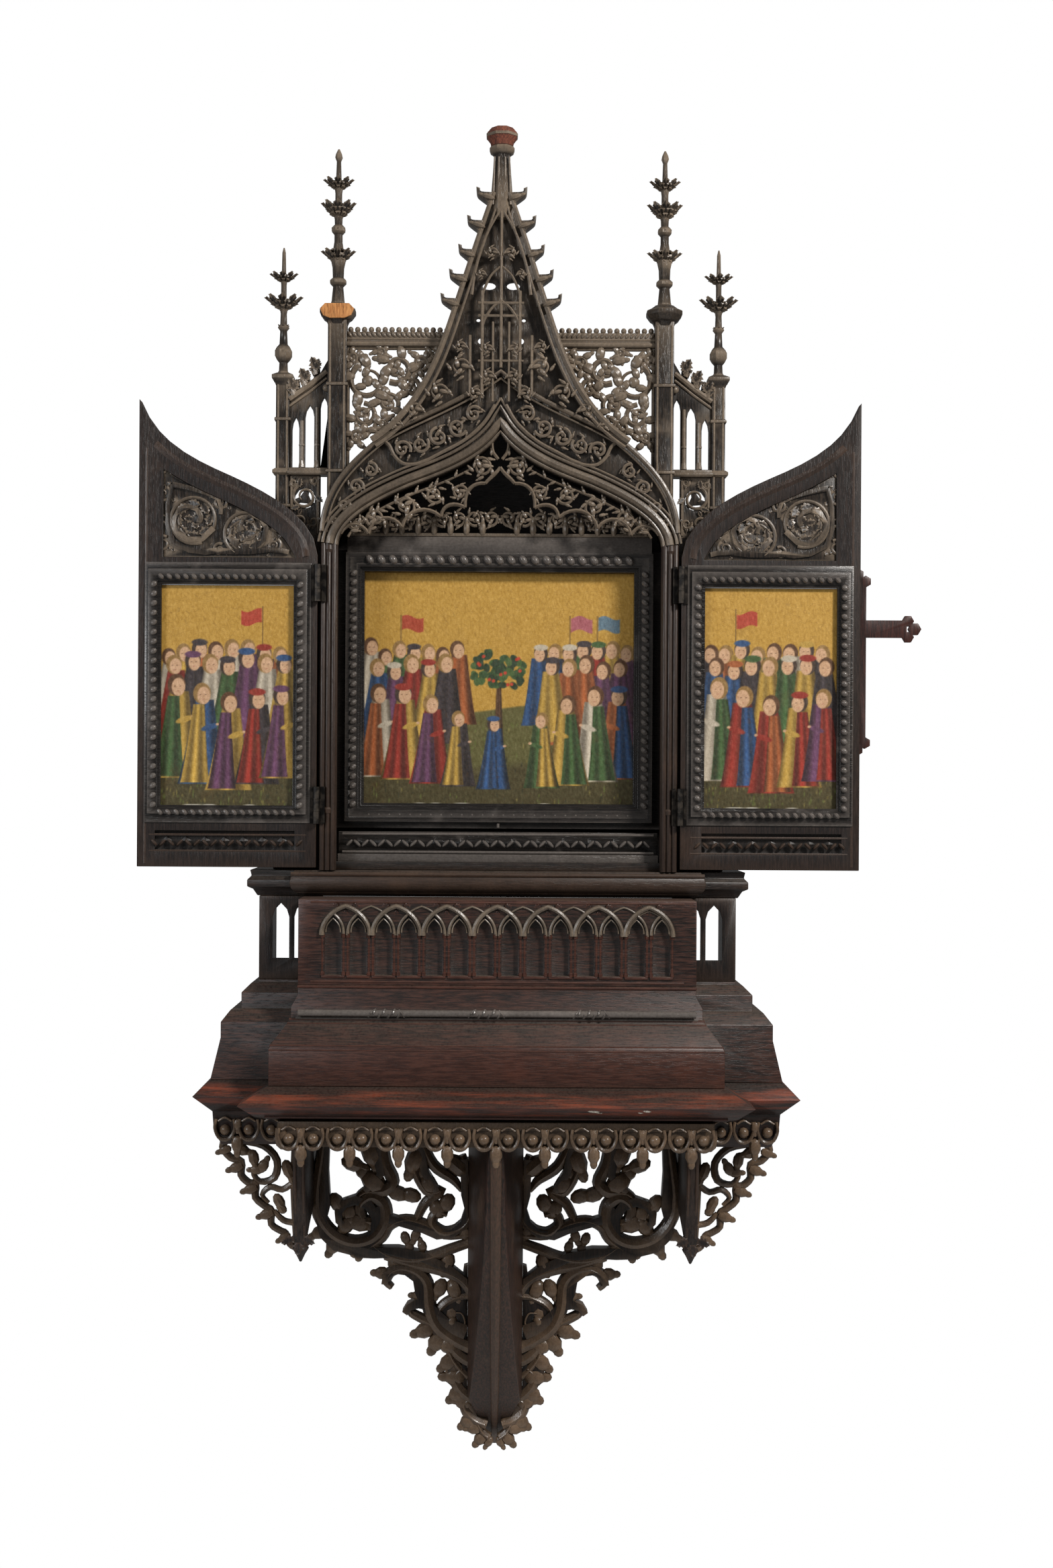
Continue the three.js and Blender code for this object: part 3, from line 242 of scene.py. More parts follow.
def oak(name, stain, wood, rubbed_and_highlight, dusting, wear_and_highlight, grain="upright", sheen=0.42, band=None):
    """Stained oak. Dusting and wear say how much dust and how much bare wood shows, from 0 to 1. On sharp
    edges that bare wood is partly a painted highlight.

    A band is a pair of heights in metres; bare wood then shows mostly between them, in long streaks."""
    material, shader, place = new_material(name)
    stain, wood, rubbed_and_highlight = linear(*stain), linear(*wood), linear(*rubbed_and_highlight)
    along = ALONG_GRAIN[grain]
    streaks = place.noise(place.stretched(along), 420.0, 4.0, 0.62)
    pores = place.noise(place.stretched(tuple(0.55 * part for part in along)), 1500.0, 2.0)
    clouds = place.noise(place, 14.0, 4.0, 0.6)
    specks = place.noise(place, 260.0, 3.0, 0.6)
    hollow = 1.0 - place.node("AmbientOcclusion", {"samples": 6}, {"Distance": 0.022}, out=1)
    facing = place.node("NewGeometry", out=1)
    upward = place.node("SeparateXYZ", None, {"Vector": facing}, out=2)
    edge = place.node("NewGeometry", out=7).step(0.515, 0.6)

    base = place.mix(streaks.step(0.36, 0.68), stain, wood)
    base = place.mix(pores.step(0.58, 0.7) * 0.7, base, (*(0.35 * part for part in stain[:3]), 1.0))
    # Painted shade: where ambient occlusion finds a hollow, the colour is darkened toward near-black.
    shade = hollow.step(0.15, 0.62)
    base = place.mix(shade * 0.92, base, PAINTED_HOLLOW_SHADE)
    # Lighter rubbed colour on sharp convex edges and in random patches: worn wood, and on the edges partly a
    # painted highlight.
    rub_and_highlight = (edge * (0.4 + specks) + clouds.step(0.52, 0.72) * 0.5) * wear_and_highlight
    if band:
        foot, top = band
        level = place.node("SeparateXYZ", None, {"Vector": place}, out=2)
        inside = level.step(foot, foot + 0.005) * (1.0 - level.step(top - 0.008, top))
        worn_patches = place.noise(place.stretched((0.1, 1.0, 1.0)), 70.0, 5.0, 0.7).step(0.4, 0.78)
        rub_and_highlight = rub_and_highlight * 0.3 + inside * worn_patches
    base = place.mix(rub_and_highlight.clamped(), base, rubbed_and_highlight)
    ledge = upward.step(0.35, 0.95) * 0.7
    settled = (ledge + hollow.step(0.1, 0.45) * (1.0 - shade) * 0.6) * (0.35 + clouds) * dusting
    base = place.mix((settled * specks.step(0.2, 0.6)).clamped(), base, GREY_DUST)
    rough = sheen + settled * 0.35 + pores.step(0.55, 0.7) * 0.15 - edge * wear_and_highlight * 0.08

    height = streaks * 0.5 - pores.step(0.55, 0.7) * 0.8 + specks * 0.25
    bump = place.node("Bump", None, {"Strength": 0.35, "Distance": 0.0006, "Height": height})
    for socket, value in (("Base Color", base), ("Roughness", rough.clamped()), ("Normal", bump)):
        place.plug(shader.inputs[socket], value)
    shader.inputs["Specular IOR Level"].default_value = 0.4
    shader.inputs["Coat Weight"].default_value = 0.08
    shader.inputs["Coat Roughness"].default_value = 0.35
    return material


# Stain, wood, and the colour of rubbed edges, which is partly a painted highlight.
STAIN, WOOD, RUBBED_AND_HIGHLIGHT = (24, 20, 19), (50, 40, 36), (104, 78, 60)
dark_oak = oak("dark_oak", STAIN, WOOD, RUBBED_AND_HIGHLIGHT, 0.3, 0.25)
level_oak = oak("dark_oak_level", STAIN, WOOD, RUBBED_AND_HIGHLIGHT, 0.35, 0.3, "level")
dusty_oak = oak("dusty_oak", (20, 17, 15), (58, 49, 42), (162, 144, 124), 0.34, 0.5, sheen=0.33)
bracket_oak = oak("bracket_oak", (16, 13, 12), (44, 33, 27), (150, 124, 100), 0.12, 0.5, sheen=0.28)
worn_oak = oak("worn_oak", (22, 17, 16), (72, 47, 39), (110, 56, 36), 0.55, 0.26, "level")
keel_oak = oak("keel_oak", (15, 12, 12), (64, 40, 32), (136, 110, 90), 0.2, 0.4)
shelf_oak = oak(
    "shelf_oak", (18, 14, 14), (50, 31, 26), (150, 68, 40), 0.25, 0.3, "level", band=(-0.642, -0.605)
)
# Oak for frames, beads and the ribbon roll: its pale grey edges are painted highlights as well as rubbed
# wear.
oak_with_painted_highlights = oak("oak_with_painted_highlights", (20, 18, 17), (44, 39, 36), (128, 120, 114), 0.2, 0.6, "level", 0.26)
raw_oak = oak("raw_oak", (84, 44, 34), (136, 76, 56), (170, 112, 84), 0.2, 0.3, sheen=0.7)
orange_oak = oak("orange_oak", (168, 106, 56), (214, 150, 88), (230, 180, 120), 0.05, 0.2, sheen=0.75)
cross_oak = oak("cross_oak", (40, 22, 20), (72, 40, 34), (112, 62, 48), 0.1, 0.35)


def forged_iron():
    material, shader, place = new_material("hinge_iron")
    specks = place.noise(place, 900.0, 3.0)
    clouds = place.noise(place, 90.0, 3.0)
    base = place.mix(clouds.step(0.4, 0.65), linear(30, 28, 27), linear(66, 60, 54))
    bump = place.node("Bump", None, {"Strength": 0.3, "Distance": 0.0004, "Height": specks})
    place.plug(shader.inputs["Base Color"], base)
    place.plug(shader.inputs["Roughness"], 0.35 + clouds * 0.3)
    place.plug(shader.inputs["Normal"], bump)
    shader.inputs["Metallic"].default_value = 0.85
    return material


hinge_iron = forged_iron()


def plain(name, scale, edges, first, second, roughness):
    """A dull material that drifts between two colours."""
    material, shader, place = new_material(name)
    place.plug(shader.inputs["Base Color"], place.mix(place.noise(place, scale).step(*edges), first, second))
    shader.inputs["Roughness"].default_value = roughness
    return material


chalk = plain("chalk", 700.0, (0.35, 0.6), linear(150, 140, 126), linear(214, 208, 196), 0.9)
pale_floor = plain("pale_floor", 3.0, (0.3, 0.7), (0.76, 0.75, 0.74, 1.0), (0.8, 0.79, 0.78, 1.0), 0.8)
floor.data.materials.append(pale_floor)
print("finishes:", ", ".join(material.name for material in bpy.data.materials))

# %% [markdown]
# ## Ways of working the wood
# A joiner works with a few operations, and so does this lesson: a board is sawn to an outline and its edges
# are eased, a stem is a tapering roll along a line, a post or finial is built up ring by ring, and a leaf is
# carved once and repeated. Each helper gives a plain mesh at its place, in millimetres until it is placed.
# %% Lines and curves


def bezier(p0, p1, p2, p3, steps):
    """Points along one cubic curve."""
    t = np.linspace(0, 1, steps + 1)[:, None]
    p0, p1, p2, p3 = (np.array(p, float) for p in (p0, p1, p2, p3))
    return (1 - t) ** 3 * p0 + 3 * (1 - t) ** 2 * t * p1 + 3 * (1 - t) * t**2 * p2 + t**3 * p3


def ogee(points):
    """Half of an ogee from seven points: two cubic curves that meet at the fourth."""
    return np.vstack([bezier(*points[:4], 16), bezier(*points[3:], 16)[1:]])


def evenly(line, steps):
    """The same line in steps of equal length."""
    line = np.asarray(line, float)
    length = np.concatenate([[0], np.cumsum(np.linalg.norm(np.diff(line, axis=0), axis=1))])
    at = np.linspace(0, length[-1], steps + 1)
    return np.stack([np.interp(at, length, line[:, i]) for i in range(line.shape[1])], axis=1)


def smooth(points, steps=6):
    """A smooth line through a few points."""
    points = np.asarray(points, float)
    padded = np.vstack([2 * points[0] - points[1], points, 2 * points[-1] - points[-2]])
    line = [points[0]]
    for a, b, c, d in zip(padded, padded[1:], padded[2:], padded[3:]):
        for t in np.linspace(0, 1, steps + 1)[1:]:
            bend, twist = 2 * a - 5 * b + 4 * c - d, 3 * b - a - 3 * c + d
            line.append(0.5 * (2 * b + (c - a) * t + bend * t**2 + twist * t**3))
    return np.array(line)


def offset(line, distance):
    """The line moved sideways: to the right of its direction where the distance is positive."""
    line = np.asarray(line, float)
    along = np.gradient(line, axis=0)
    along /= np.linalg.norm(along, axis=1)[:, None] + 1e-12
    return line + distance * np.stack([along[:, 1], -along[:, 0]], axis=1)


def curl(centre, start_radius, end_radius, start, end, steps=18):
    """Points round a spiral, with angles in degrees anticlockwise from +X."""
    share = np.linspace(0, 1, steps + 1)
    radius = start_radius + (end_radius - start_radius) * share
    angle = np.radians(start + (end - start) * share)
    return np.stack([centre[0] + radius * np.cos(angle), centre[1] + radius * np.sin(angle)], axis=1)


def mirrored(line, side):
    """The line on the other side of the centre line, where side is -1."""
    return np.asarray(line, float) * (side, 1)


def both_halves(half):
    """A line from the left foot over the apex to the right foot."""
    half = np.asarray(half, float)
    return np.vstack([half * (-1, 1), half[:-1][::-1]])


ARCH = ogee([(255, 190), (251, 232), (200, 262), (139, 288), (95, 305), (28, 326), (0, 378)])
HOOD = ogee([(265.5, 208), (262, 270), (228, 306), (178, 347), (133, 377), (50, 402), (0, 448)])
GABLE = ogee([(194, 347), (146, 378), (112, 425), (84, 508), (64, 568), (38, 652), (16, 714)])
WING_TOP = ogee([(1, 172), (4, 222), (58, 256), (123, 286), (170, 307), (240, 332), (267.5, 403)])
print("ogees of", len(ARCH), "points")

# %% Boards, stems and turnings


def take(name="part"):
    """The object that an operator has just made, under a plain name."""
    made = bpy.context.object
    made.name = name
    return made


def convert(curve, name):
    """A mesh from a curve, with its doubled points merged."""
    made = bpy.data.objects.new(name, curve)
    bpy.context.collection.objects.link(made)
    choose(made)
    bpy.ops.object.convert(target="MESH")
    bpy.ops.object.mode_set(mode="EDIT")
    bpy.ops.mesh.select_all(action="SELECT")
    bpy.ops.mesh.remove_doubles(threshold=0.02 * MM)
    bpy.ops.mesh.normals_make_consistent(inside=False)
    bpy.ops.object.mode_set(mode="OBJECT")
    return bpy.context.object


def board(outlines, front, back, ease=0.8):
    """A board sawn to an outline in X and Z, with openings inside it and eased edges."""
    curve = bpy.data.curves.new("board", "CURVE")
    curve.dimensions = "2D"
    curve.fill_mode = "BOTH"
    curve.extrude = ((back - front) / 2 - ease) * MM
    curve.bevel_depth = ease * MM
    curve.bevel_resolution = 1
    curve.offset = -ease * MM
    for line in outlines:
        spline = curve.splines.new("POLY")
        spline.points.add(len(line) - 1)
        for point, (x, z) in zip(spline.points, line):
            point.co = (x * MM, z * MM, 0, 1)
        spline.use_cyclic_u = True
    made = convert(curve, "board")
    stand_up = Matrix.Rotation(math.pi / 2, 4, "X")
    made.data.transform(Matrix.Translation((0, (front + back) / 2 * MM, 0)) @ stand_up)
    return made


def stems(strokes, depth, deepen=1.0, sides=1):
    """Tapering rolls along lines in X and Z, all centred at one depth.
    Each stroke is a line with the half widths at its start and end, or a third one at its middle."""
    curve = bpy.data.curves.new("stems", "CURVE")
    curve.dimensions = "3D"
    curve.bevel_depth = MM
    curve.bevel_resolution = sides
    curve.use_fill_caps = True
    for line, *halves in strokes:
        spline = curve.splines.new("POLY")
        spline.points.add(len(line) - 1)
        at = np.linspace(0, 1, len(line))
        radius = np.interp(at, np.linspace(0, 1, len(halves)), halves)
        for point, place, half in zip(spline.points, line, radius):
            rise = place[2] if len(place) > 2 else 0.0
            point.co = (place[0] * MM, -rise * MM / deepen, place[1] * MM, 1)
            point.radius = half
        spline.use_cyclic_u = False
    made = convert(curve, "stems")
    made.data.transform(Matrix.Translation((0, depth * MM, 0)) @ Matrix.Diagonal((1, deepen, 1, 1)))
    return made


def turned(profile, x, y, sides=12):
    """A post or finial built up ring by ring, from pairs of height and half width."""
    deselect_all()
    foot, half = profile[0]
    reach = 1 / math.cos(math.pi / sides) if sides < 10 else 1.0
    bpy.ops.mesh.primitive_circle_add(
        vertices=sides, radius=half * reach * MM, fill_type="NGON",
        location=(x * MM, y * MM, foot * MM), rotation=(0, 0, math.pi / sides),
    )
    made = take("turned")
    bpy.ops.object.transform_apply(location=True, rotation=True, scale=True)
    bpy.ops.object.mode_set(mode="EDIT")
    bpy.ops.mesh.select_all(action="SELECT")
    for (before, half_before), (height, half_now) in zip(profile, profile[1:]):
        rise = (height - before) * MM
        bpy.ops.mesh.extrude_region_move(TRANSFORM_OT_translate={"value": (0, 0, rise)})
        ratio = half_now / half_before
        bpy.ops.transform.resize(value=(ratio, ratio, 1), center_override=(x * MM, y * MM, height * MM))
    bpy.ops.mesh.select_all(action="SELECT")
    bpy.ops.mesh.normals_make_consistent(inside=False)
    bpy.ops.object.mode_set(mode="OBJECT")
    return made


def block(low, high, ease=0.8):
    """A squared piece of wood between two corners, with eased edges."""
    deselect_all()
    middle = [(a + b) / 2 * MM for a, b in zip(low, high)]
    bpy.ops.mesh.primitive_cube_add(size=1, location=middle)
    made = take("block")
    made.scale = [(b - a) * MM for a, b in zip(low, high)]
    bpy.ops.object.transform_apply(location=True, rotation=True, scale=True)
    eased(made, ease)
    return made


def eased(piece, width):
    """The piece's sharp edges rounded off."""
    if not width:
        return
    choose(piece)
    bevel = piece.modifiers.new("ease", "BEVEL")
    bevel.width = width * MM
    bevel.segments = 2
    bevel.limit_method = "ANGLE"
    bevel.angle_limit = math.radians(34)
    bpy.ops.object.modifier_apply(modifier="ease")


def refined(node, ease=0.8):
    """A copy of a frame's piece with merged points and rounded edges."""
    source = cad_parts[node]
    made = bpy.data.objects.new("refined", source.data.copy())
    made.data.transform(source.matrix_world)
    made.data.materials.clear()
    bpy.context.collection.objects.link(made)
    choose(made)
    bpy.ops.object.mode_set(mode="EDIT")
    bpy.ops.mesh.select_all(action="SELECT")
    bpy.ops.mesh.remove_doubles(threshold=0.01 * MM)
    bpy.ops.mesh.dissolve_limited(angle_limit=math.radians(0.5))
    bpy.ops.object.mode_set(mode="OBJECT")
    eased(made, ease)
    return made


print("boards, stems, turnings and blocks")

# %% Leaves and copies


def carve_leaf():
    """A leaf one unit long with lobed edges, a groove down its middle and a tip that curls forward."""
    deselect_all()
    bpy.ops.mesh.primitive_grid_add(x_subdivisions=4, y_subdivisions=7, size=1)
    leaf = take("leaf")
    for vertex in leaf.data.vertices:
        across = vertex.co.x * 2
        along = vertex.co.y + 0.5
        half = 0.3 * math.sin(math.pi * min(1.0, along * 0.88 + 0.12)) ** 0.7 + 0.015
        half *= 1 + 0.28 * math.cos(along * math.pi * 7)
        lift = 0.1 * (1 - across**2) + 0.10 * math.sin(along * 2.6) + 0.22 * along**3
        lift -= 0.09 * math.exp(-((across / 0.3) ** 2))
        vertex.co = (across * half, along - 0.03 * abs(across), lift)
    choose(leaf)
    solid = leaf.modifiers.new("body", "SOLIDIFY")
    solid.thickness = 0.11
    solid.offset = -1
    bpy.ops.object.modifier_apply(modifier="body")
    return leaf


leaf_pattern = carve_leaf()


def copies(pattern, places):
    """One mesh that holds a copy of a pattern at each of several places, given as matrices."""
    template = np.empty(len(pattern.data.vertices) * 3)
    pattern.data.vertices.foreach_get("co", template)
    template = np.c_[template.reshape(-1, 3), np.ones(len(template) // 3)]
    faces = [list(face.vertices) for face in pattern.data.polygons]
    vertices, polygons = [], []
    for place in places:
        start = len(vertices) * len(template)
        vertices.append((template @ np.array(place).T)[:, :3])
        flip = place.determinant() < 0
        polygons += [[start + i for i in (face[::-1] if flip else face)] for face in faces]
    mesh = bpy.data.meshes.new("copies")
    mesh.from_pydata(np.vstack(vertices).tolist(), [], polygons)
    made = bpy.data.objects.new("copies", mesh)
    bpy.context.collection.objects.link(made)
    return made


def leaf_place(x, z, angle, length, depth, width=1.0, flip=False):
    """Where a leaf lies on an upright face: its foot, its direction in degrees and its length."""
    lie = Matrix(((1, 0, 0, 0), (0, 0, -1, 0), (0, 1, 0, 0), (0, 0, 0, 1)))
    turn = Matrix.Rotation(math.radians(90 - angle), 4, "Y")
    size = Matrix.Diagonal((length * MM * width * (-1 if flip else 1), length * MM, length * MM * 0.9, 1))
    return Matrix.Translation((x * MM, depth * MM, z * MM)) @ turn @ lie @ size


def leaves(spots, depth, side=1):
    """Leaves from lists of foot, direction, length and width, drawn for the right side."""
    places = []
    for x, z, angle, length, *rest in spots:
        width = rest[0] if rest else 1.0
        direction = angle if side > 0 else 180 - angle
        places.append(leaf_place(side * x, z, direction, length, depth, width, side < 0))
    return copies(leaf_pattern, places)


def along_stem(line, start, end, count, length, spread=42, width=1.0):
    """Spots for leaves that grow from a stem, on one side or on both by turns."""
    line = evenly(line, 60)
    spots = []
    for i, share in enumerate(np.linspace(start, end, count)):
        k = min(int(share * 59), 58)
        along = line[k + 1] - line[k]
        direction = math.degrees(math.atan2(along[1], along[0]))
        turn = -1 if i % 2 else 1
        size = length[0] + (length[1] - length[0]) * i / max(count - 1, 1)
        spots.append((line[k][0], line[k][1], direction + turn * spread, size, width))
    return spots


SMOOTH_ANGLE = math.radians(38)


def done(name, parts, body, material, stands_for=()):
    """Joins the parts of a piece, finishes it and says where it belongs."""
    choose(*parts)
    if len(parts) > 1:
        bpy.ops.object.join()
    piece = bpy.context.view_layer.objects.active
    bpy.ops.object.shade_smooth_by_angle(angle=SMOOTH_ANGLE)
    piece.name = name
    piece.data.name = name
    piece.data.materials.clear()
    piece.data.materials.append(material)
    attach(piece, body)
    if stands_for:
        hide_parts(*stands_for)
    print(f"{name}: {len(piece.data.polygons)} faces")
    return piece


SIDES = (("left", -1), ("right", 1))


def both_sides(*rows, body="case"):
    """The left and the right piece of each row: its name, the function that carves it, its slot, which is
    not used, its finish and the node that it stands for."""
    for hand, side in SIDES:
        for name, carve, slot, material, node in rows:
            place = hand + body if body == "_wing" else body
            done(f"{hand}_{name}", carve(hand, side), place, material, (f"{hand}_{node}",))


print("a leaf of", len(leaf_pattern.data.polygons), "faces")

# %% [markdown]
# ## Beads, whorls and the joinery
# Gothic-revival joiners enriched every frame with rows of slanted beads, and set rings of leaves round their
# finials. A bead and a leaf are each modelled once, and copies are placed by loops. The plain joinery is
# copied from the frame with its edges rounded off, because that is where wood catches the light.
# %% Beads and whorls


def carve_bead():
    """A rounded bead of radius one, with few faces because it is repeated hundreds of times."""
    deselect_all()
    bpy.ops.mesh.primitive_uv_sphere_add(segments=8, ring_count=5, radius=1)
    return take("bead")


bead_pattern = carve_bead()


def beads(spots, depth, width, length, rise, tilt):
    """Beads at places in X and Z, each turned by a tilt in degrees: one for all, or one for each."""
    tilts = tilt if isinstance(tilt, (list, tuple)) else [tilt] * len(spots)
    size = Matrix.Diagonal((width * MM, rise * MM, length * MM, 1))
    places = [
        Matrix.Translation((x * MM, depth * MM, z * MM)) @ Matrix.Rotation(math.radians(turn), 4, "Y") @ size
        for (x, z), turn in zip(spots, tilts)
    ]
    return copies(bead_pattern, places)


def lobes(spots, depth, side):
    """Fleshy rounded leaves: two beads for each place, direction, length and width."""
    places = []
    for x, z, angle, length, width in spots:
        turn = math.radians(angle)
        for share, size in ((0.3, 1.0), (0.78, 0.6)):
            out, up = share * length * math.cos(turn), share * length * math.sin(turn)
            at = Matrix.Translation((side * (x + out) * MM, depth * MM, (z + up) * MM))
            lie = Matrix.Rotation(side * (math.pi / 2 - turn), 4, "Y")
            half = length * size * MM
            places.append(at @ lie @ Matrix.Diagonal((0.27 * width * half, 0.32 * half, 0.5 * half, 1)))
    return copies(bead_pattern, places)


def row(start, end, pitch):
    """Places in a row from one point to another, as near to the pitch as fits."""
    start, end = np.array(start, float), np.array(end, float)
    count = max(int(round(np.linalg.norm(end - start) / pitch)), 1)
    return [tuple(start + (end - start) * (i + 0.5) / count) for i in range(count)]


def whorl(x, y, z, reach, rise, count, broad=1.0, turn=0.0):
    """A ring of leaves round an upright stem, whose tips stand out by reach and up by rise."""
    places = []
    length = math.hypot(reach, rise)
    for i in range(count):
        around = Matrix.Rotation(math.radians(turn) + 2 * math.pi * i / count, 4, "Z")
        tip = Matrix.Rotation(math.atan2(rise, reach), 4, "X")
        size = Matrix.Diagonal((length * broad * MM, length * MM, length * 0.8 * MM, 1))
        places.append(Matrix.Translation((x * MM, y * MM, z * MM)) @ around @ tip @ size)
    return copies(leaf_pattern, places)


def to_centre(line):
    """A line of the right half, ended on the centre line."""
    line = [tuple(p) for p in line if p[0] > 0.5]
    (x0, z0), (x1, z1) = line[-2], line[-1]
    line.append((0.0, z1 + (z1 - z0) * x1 / max(x0 - x1, 1e-6)))
    return np.array(line)


def span(node):
    """A node's box in millimetres: its lowest and its highest corner."""
    return [[value / MM for value in corner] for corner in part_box(node)]


def front_of(node):
    return span(node)[0][1]


def depth_of(node):
    """The depth of a node's middle."""
    low, high = span(node)
    return (low[1] + high[1]) / 2


print("a bead of", len(bead_pattern.data.polygons), "faces")

# %% The plain joinery
for node in ("niche_case", "left_flank", "right_flank", "left_predella_screen", "right_predella_screen"):
    material = level_oak if node == "niche_case" else dark_oak
    done(f"{node}_oak", [refined(node)], "case", material, (node,))

# %% [markdown]
# ## The ogee arch and its posts
# The arch is one band of mouldings that springs from the posts: a broad roll between two thin ones, with
# dark hollows between them. A roll is a curve with a round section, so it follows the ogee smoothly.
# %% Arch and posts


def arch_line(distance):
    """The whole arch, moved outwards by a distance."""
    return both_halves(to_centre(offset(ARCH, distance)))


def arch_band():
    low, high = span("ogee_arch")
    band = np.vstack([arch_line(12), arch_line(-13)[::-1]])
    rolls = [(arch_line(distance), half, half) for distance, half in ((9.2, 2.6), (-1.5, 6.2), (-10.6, 2.4))]
    return [board([band], high[1] - 17, high[1], 1.2), stems(rolls, low[1] + 7.5, sides=2)]


done("ogee_arch_mouldings", arch_band(), "case", dusty_oak, ("ogee_arch",))


def post(hand, side):
    """A post with a small turned foot and cap on its roll."""
    low, high = span(f"{hand}_post")
    x, top = side * (min(abs(low[0]), abs(high[0])) + 12.5), high[2]
    foot = turned([(-212, 6), (-206, 7), (-203, 5)], x, low[1] + 5, 12)
    cap = turned([(top - 16, 5), (top - 9, 7.5), (top, 6.5)], x, low[1] + 6, 12)
    return [refined(f"{hand}_post", 0.4), foot, cap]


both_sides(("post_rolls", post, "dark_oak", dark_oak, "post"))

# %% [markdown]
# ## The scrolls between the arch and its hood
# Vine scrolls fill the band above the arch: each is a tapering stem that curls into an eye and throws out
# leaves. The stems are curves with a round section that grows and shrinks, over a thin dark ground.
# %% Spandrel scrolls


def scroll(side, centre, radius, eye, start, turns, half=2.6, tip=1.2):
    """A stem that curls in from its outer radius to its eye."""
    return (mirrored(curl(centre, radius, eye, start, start + 360 * turns, 22), side), half, half, tip)


def ring_of_leaves(centre, radius, start, count, length, width=1.0, spread=55):
    """Leaf spots inside a scroll, that all swirl the same way."""
    spots = []
    for i in range(count):
        angle = start + i * 360 / count
        x = centre[0] + radius * math.cos(math.radians(angle))
        z = centre[1] + radius * math.sin(math.radians(angle))
        spots.append((x, z, angle + spread, length, width))
    return spots


HOOD_SCROLLS = [
    ((146, 331), 13), ((119, 338), 13), ((92, 350), 14), ((64, 364), 14), ((40, 384), 12),
    ((193, 300), 11), ((214, 275), 11), ((232, 248), 9), ((246, 224), 6),
]
HOOD_LOOP = [(180, 347), (166, 337), (157, 320), (142, 309), (118, 311), (86, 327), (52, 346), (24, 372),
    (8, 398)]


def spandrel():
    low, high = span("spandrel_carving")
    front, back = low[1], high[1]
    hood_top = both_halves(to_centre(offset(HOOD, 3.5)))
    parts = [board([np.vstack([hood_top, arch_line(12.3)[::-1]])], back - 3.5, back, 0.6)]
    strokes, spots = [], []
    under_hood = to_centre(offset(HOOD, -7.5))
    over_arch = to_centre(offset(ARCH, 15.5))
    for side in (1, -1):
        strokes.append((mirrored(smooth(HOOD_LOOP), side), 2.8, 2.8))
        strokes.append((mirrored(under_hood, side), 1.6, 1.6))
        strokes.append((mirrored(over_arch, side), 1.8, 1.8))
        for i, (centre, radius) in enumerate(HOOD_SCROLLS):
            turns = 1.25 if i % 2 else -1.25
            strokes.append(scroll(side, centre, radius, radius * 0.3, 200 - 60 * (i % 3), turns))
    for i, (centre, radius) in enumerate(HOOD_SCROLLS):
        spots += ring_of_leaves(centre, radius * 0.25, 30 * i, 3, radius * 0.95, 1.0)
        spots += ring_of_leaves(centre, radius * 1.05, 40 + 25 * i, 4, radius * 0.7, 0.9, 70)
    parts.append(stems(strokes, front + 7, deepen=1.25))
    parts.append(stems([(both_halves(to_centre(HOOD)), 3.6, 3.6)], front + 4, sides=2))
    parts += [lobes(spots, front + 9.5, side) for side in (1, -1)]
    return parts


done("spandrel_scrolls", spandrel(), "case", dusty_oak, ("spandrel_carving",))

# %% [markdown]
# ## The openwork under the arch and over the picture
# Under the arch hangs a fringe of cusps: a lower edge of round lobes that meet in points, with rings and
# leaves between it and the arch. It is pierced, so the niche shows dark behind it. A second, straighter band
# of the same work stands deeper in the niche.
# %% Fringe of the arch
FRINGE_EDGE = [
    [(238, 206), (228, 224), (206, 224), (196, 206)],
    [(196, 206), (192, 232), (160, 238), (146, 216)],
    [(146, 216), (140, 244), (108, 250), (88, 232)],
    [(88, 232), (86, 252), (66, 254), (52, 246)],
    [(52, 246), (54, 272), (40, 284), (22, 282)],
    [(22, 282), (16, 290), (6, 296), (0, 306)],
]
FRINGE_SCROLLS = [
    ((60, 268), 11), ((98, 264), 13), ((141, 247), 15), ((186, 229), 14), ((216, 219), 7), ((27, 306), 15),
]


def fringe():
    middle = depth_of("arch_tracery")
    strokes, spots = [], []
    for side in (1, -1):
        for lobe in FRINGE_EDGE:
            strokes.append((mirrored(bezier(*lobe, 8), side), 2.6, 3.2, 2.6))
        for i, (centre, radius) in enumerate(FRINGE_SCROLLS):
            turns = 1.3 if i % 2 else -1.3
            strokes.append(scroll(side, centre, radius, radius * 0.32, 160 + 50 * i, turns, 2.5, 1.3))
        stem = offset(ARCH, -24)[3:26]
        strokes.append((mirrored(stem, side), 2.0, 2.2, 1.6))
        crown = smooth([(3, 318), (11, 330), (12, 346), (6, 358), (0, 370)])
        strokes.append((mirrored(crown, side), 2.6, 2.6, 2.0))
    for i, (centre, radius) in enumerate(FRINGE_SCROLLS):
        spots += ring_of_leaves(centre, radius * 0.2, 50 * i, 3, radius * 0.95, 1.05)
        spots += ring_of_leaves(centre, radius * 1.0, 20 + 35 * i, 5, radius * 0.75, 0.95, 65)
    spots += along_stem(offset(ARCH, -24), 0.1, 0.86, 16, (13, 10), 50, 0.9)
    parts = [stems(strokes, middle, deepen=1.9, sides=1)]
    parts += [lobes(spots, middle - 2, side) for side in (1, -1)]
    return parts


done("arch_fringe", fringe(), "case", dusty_oak, ("arch_tracery",))


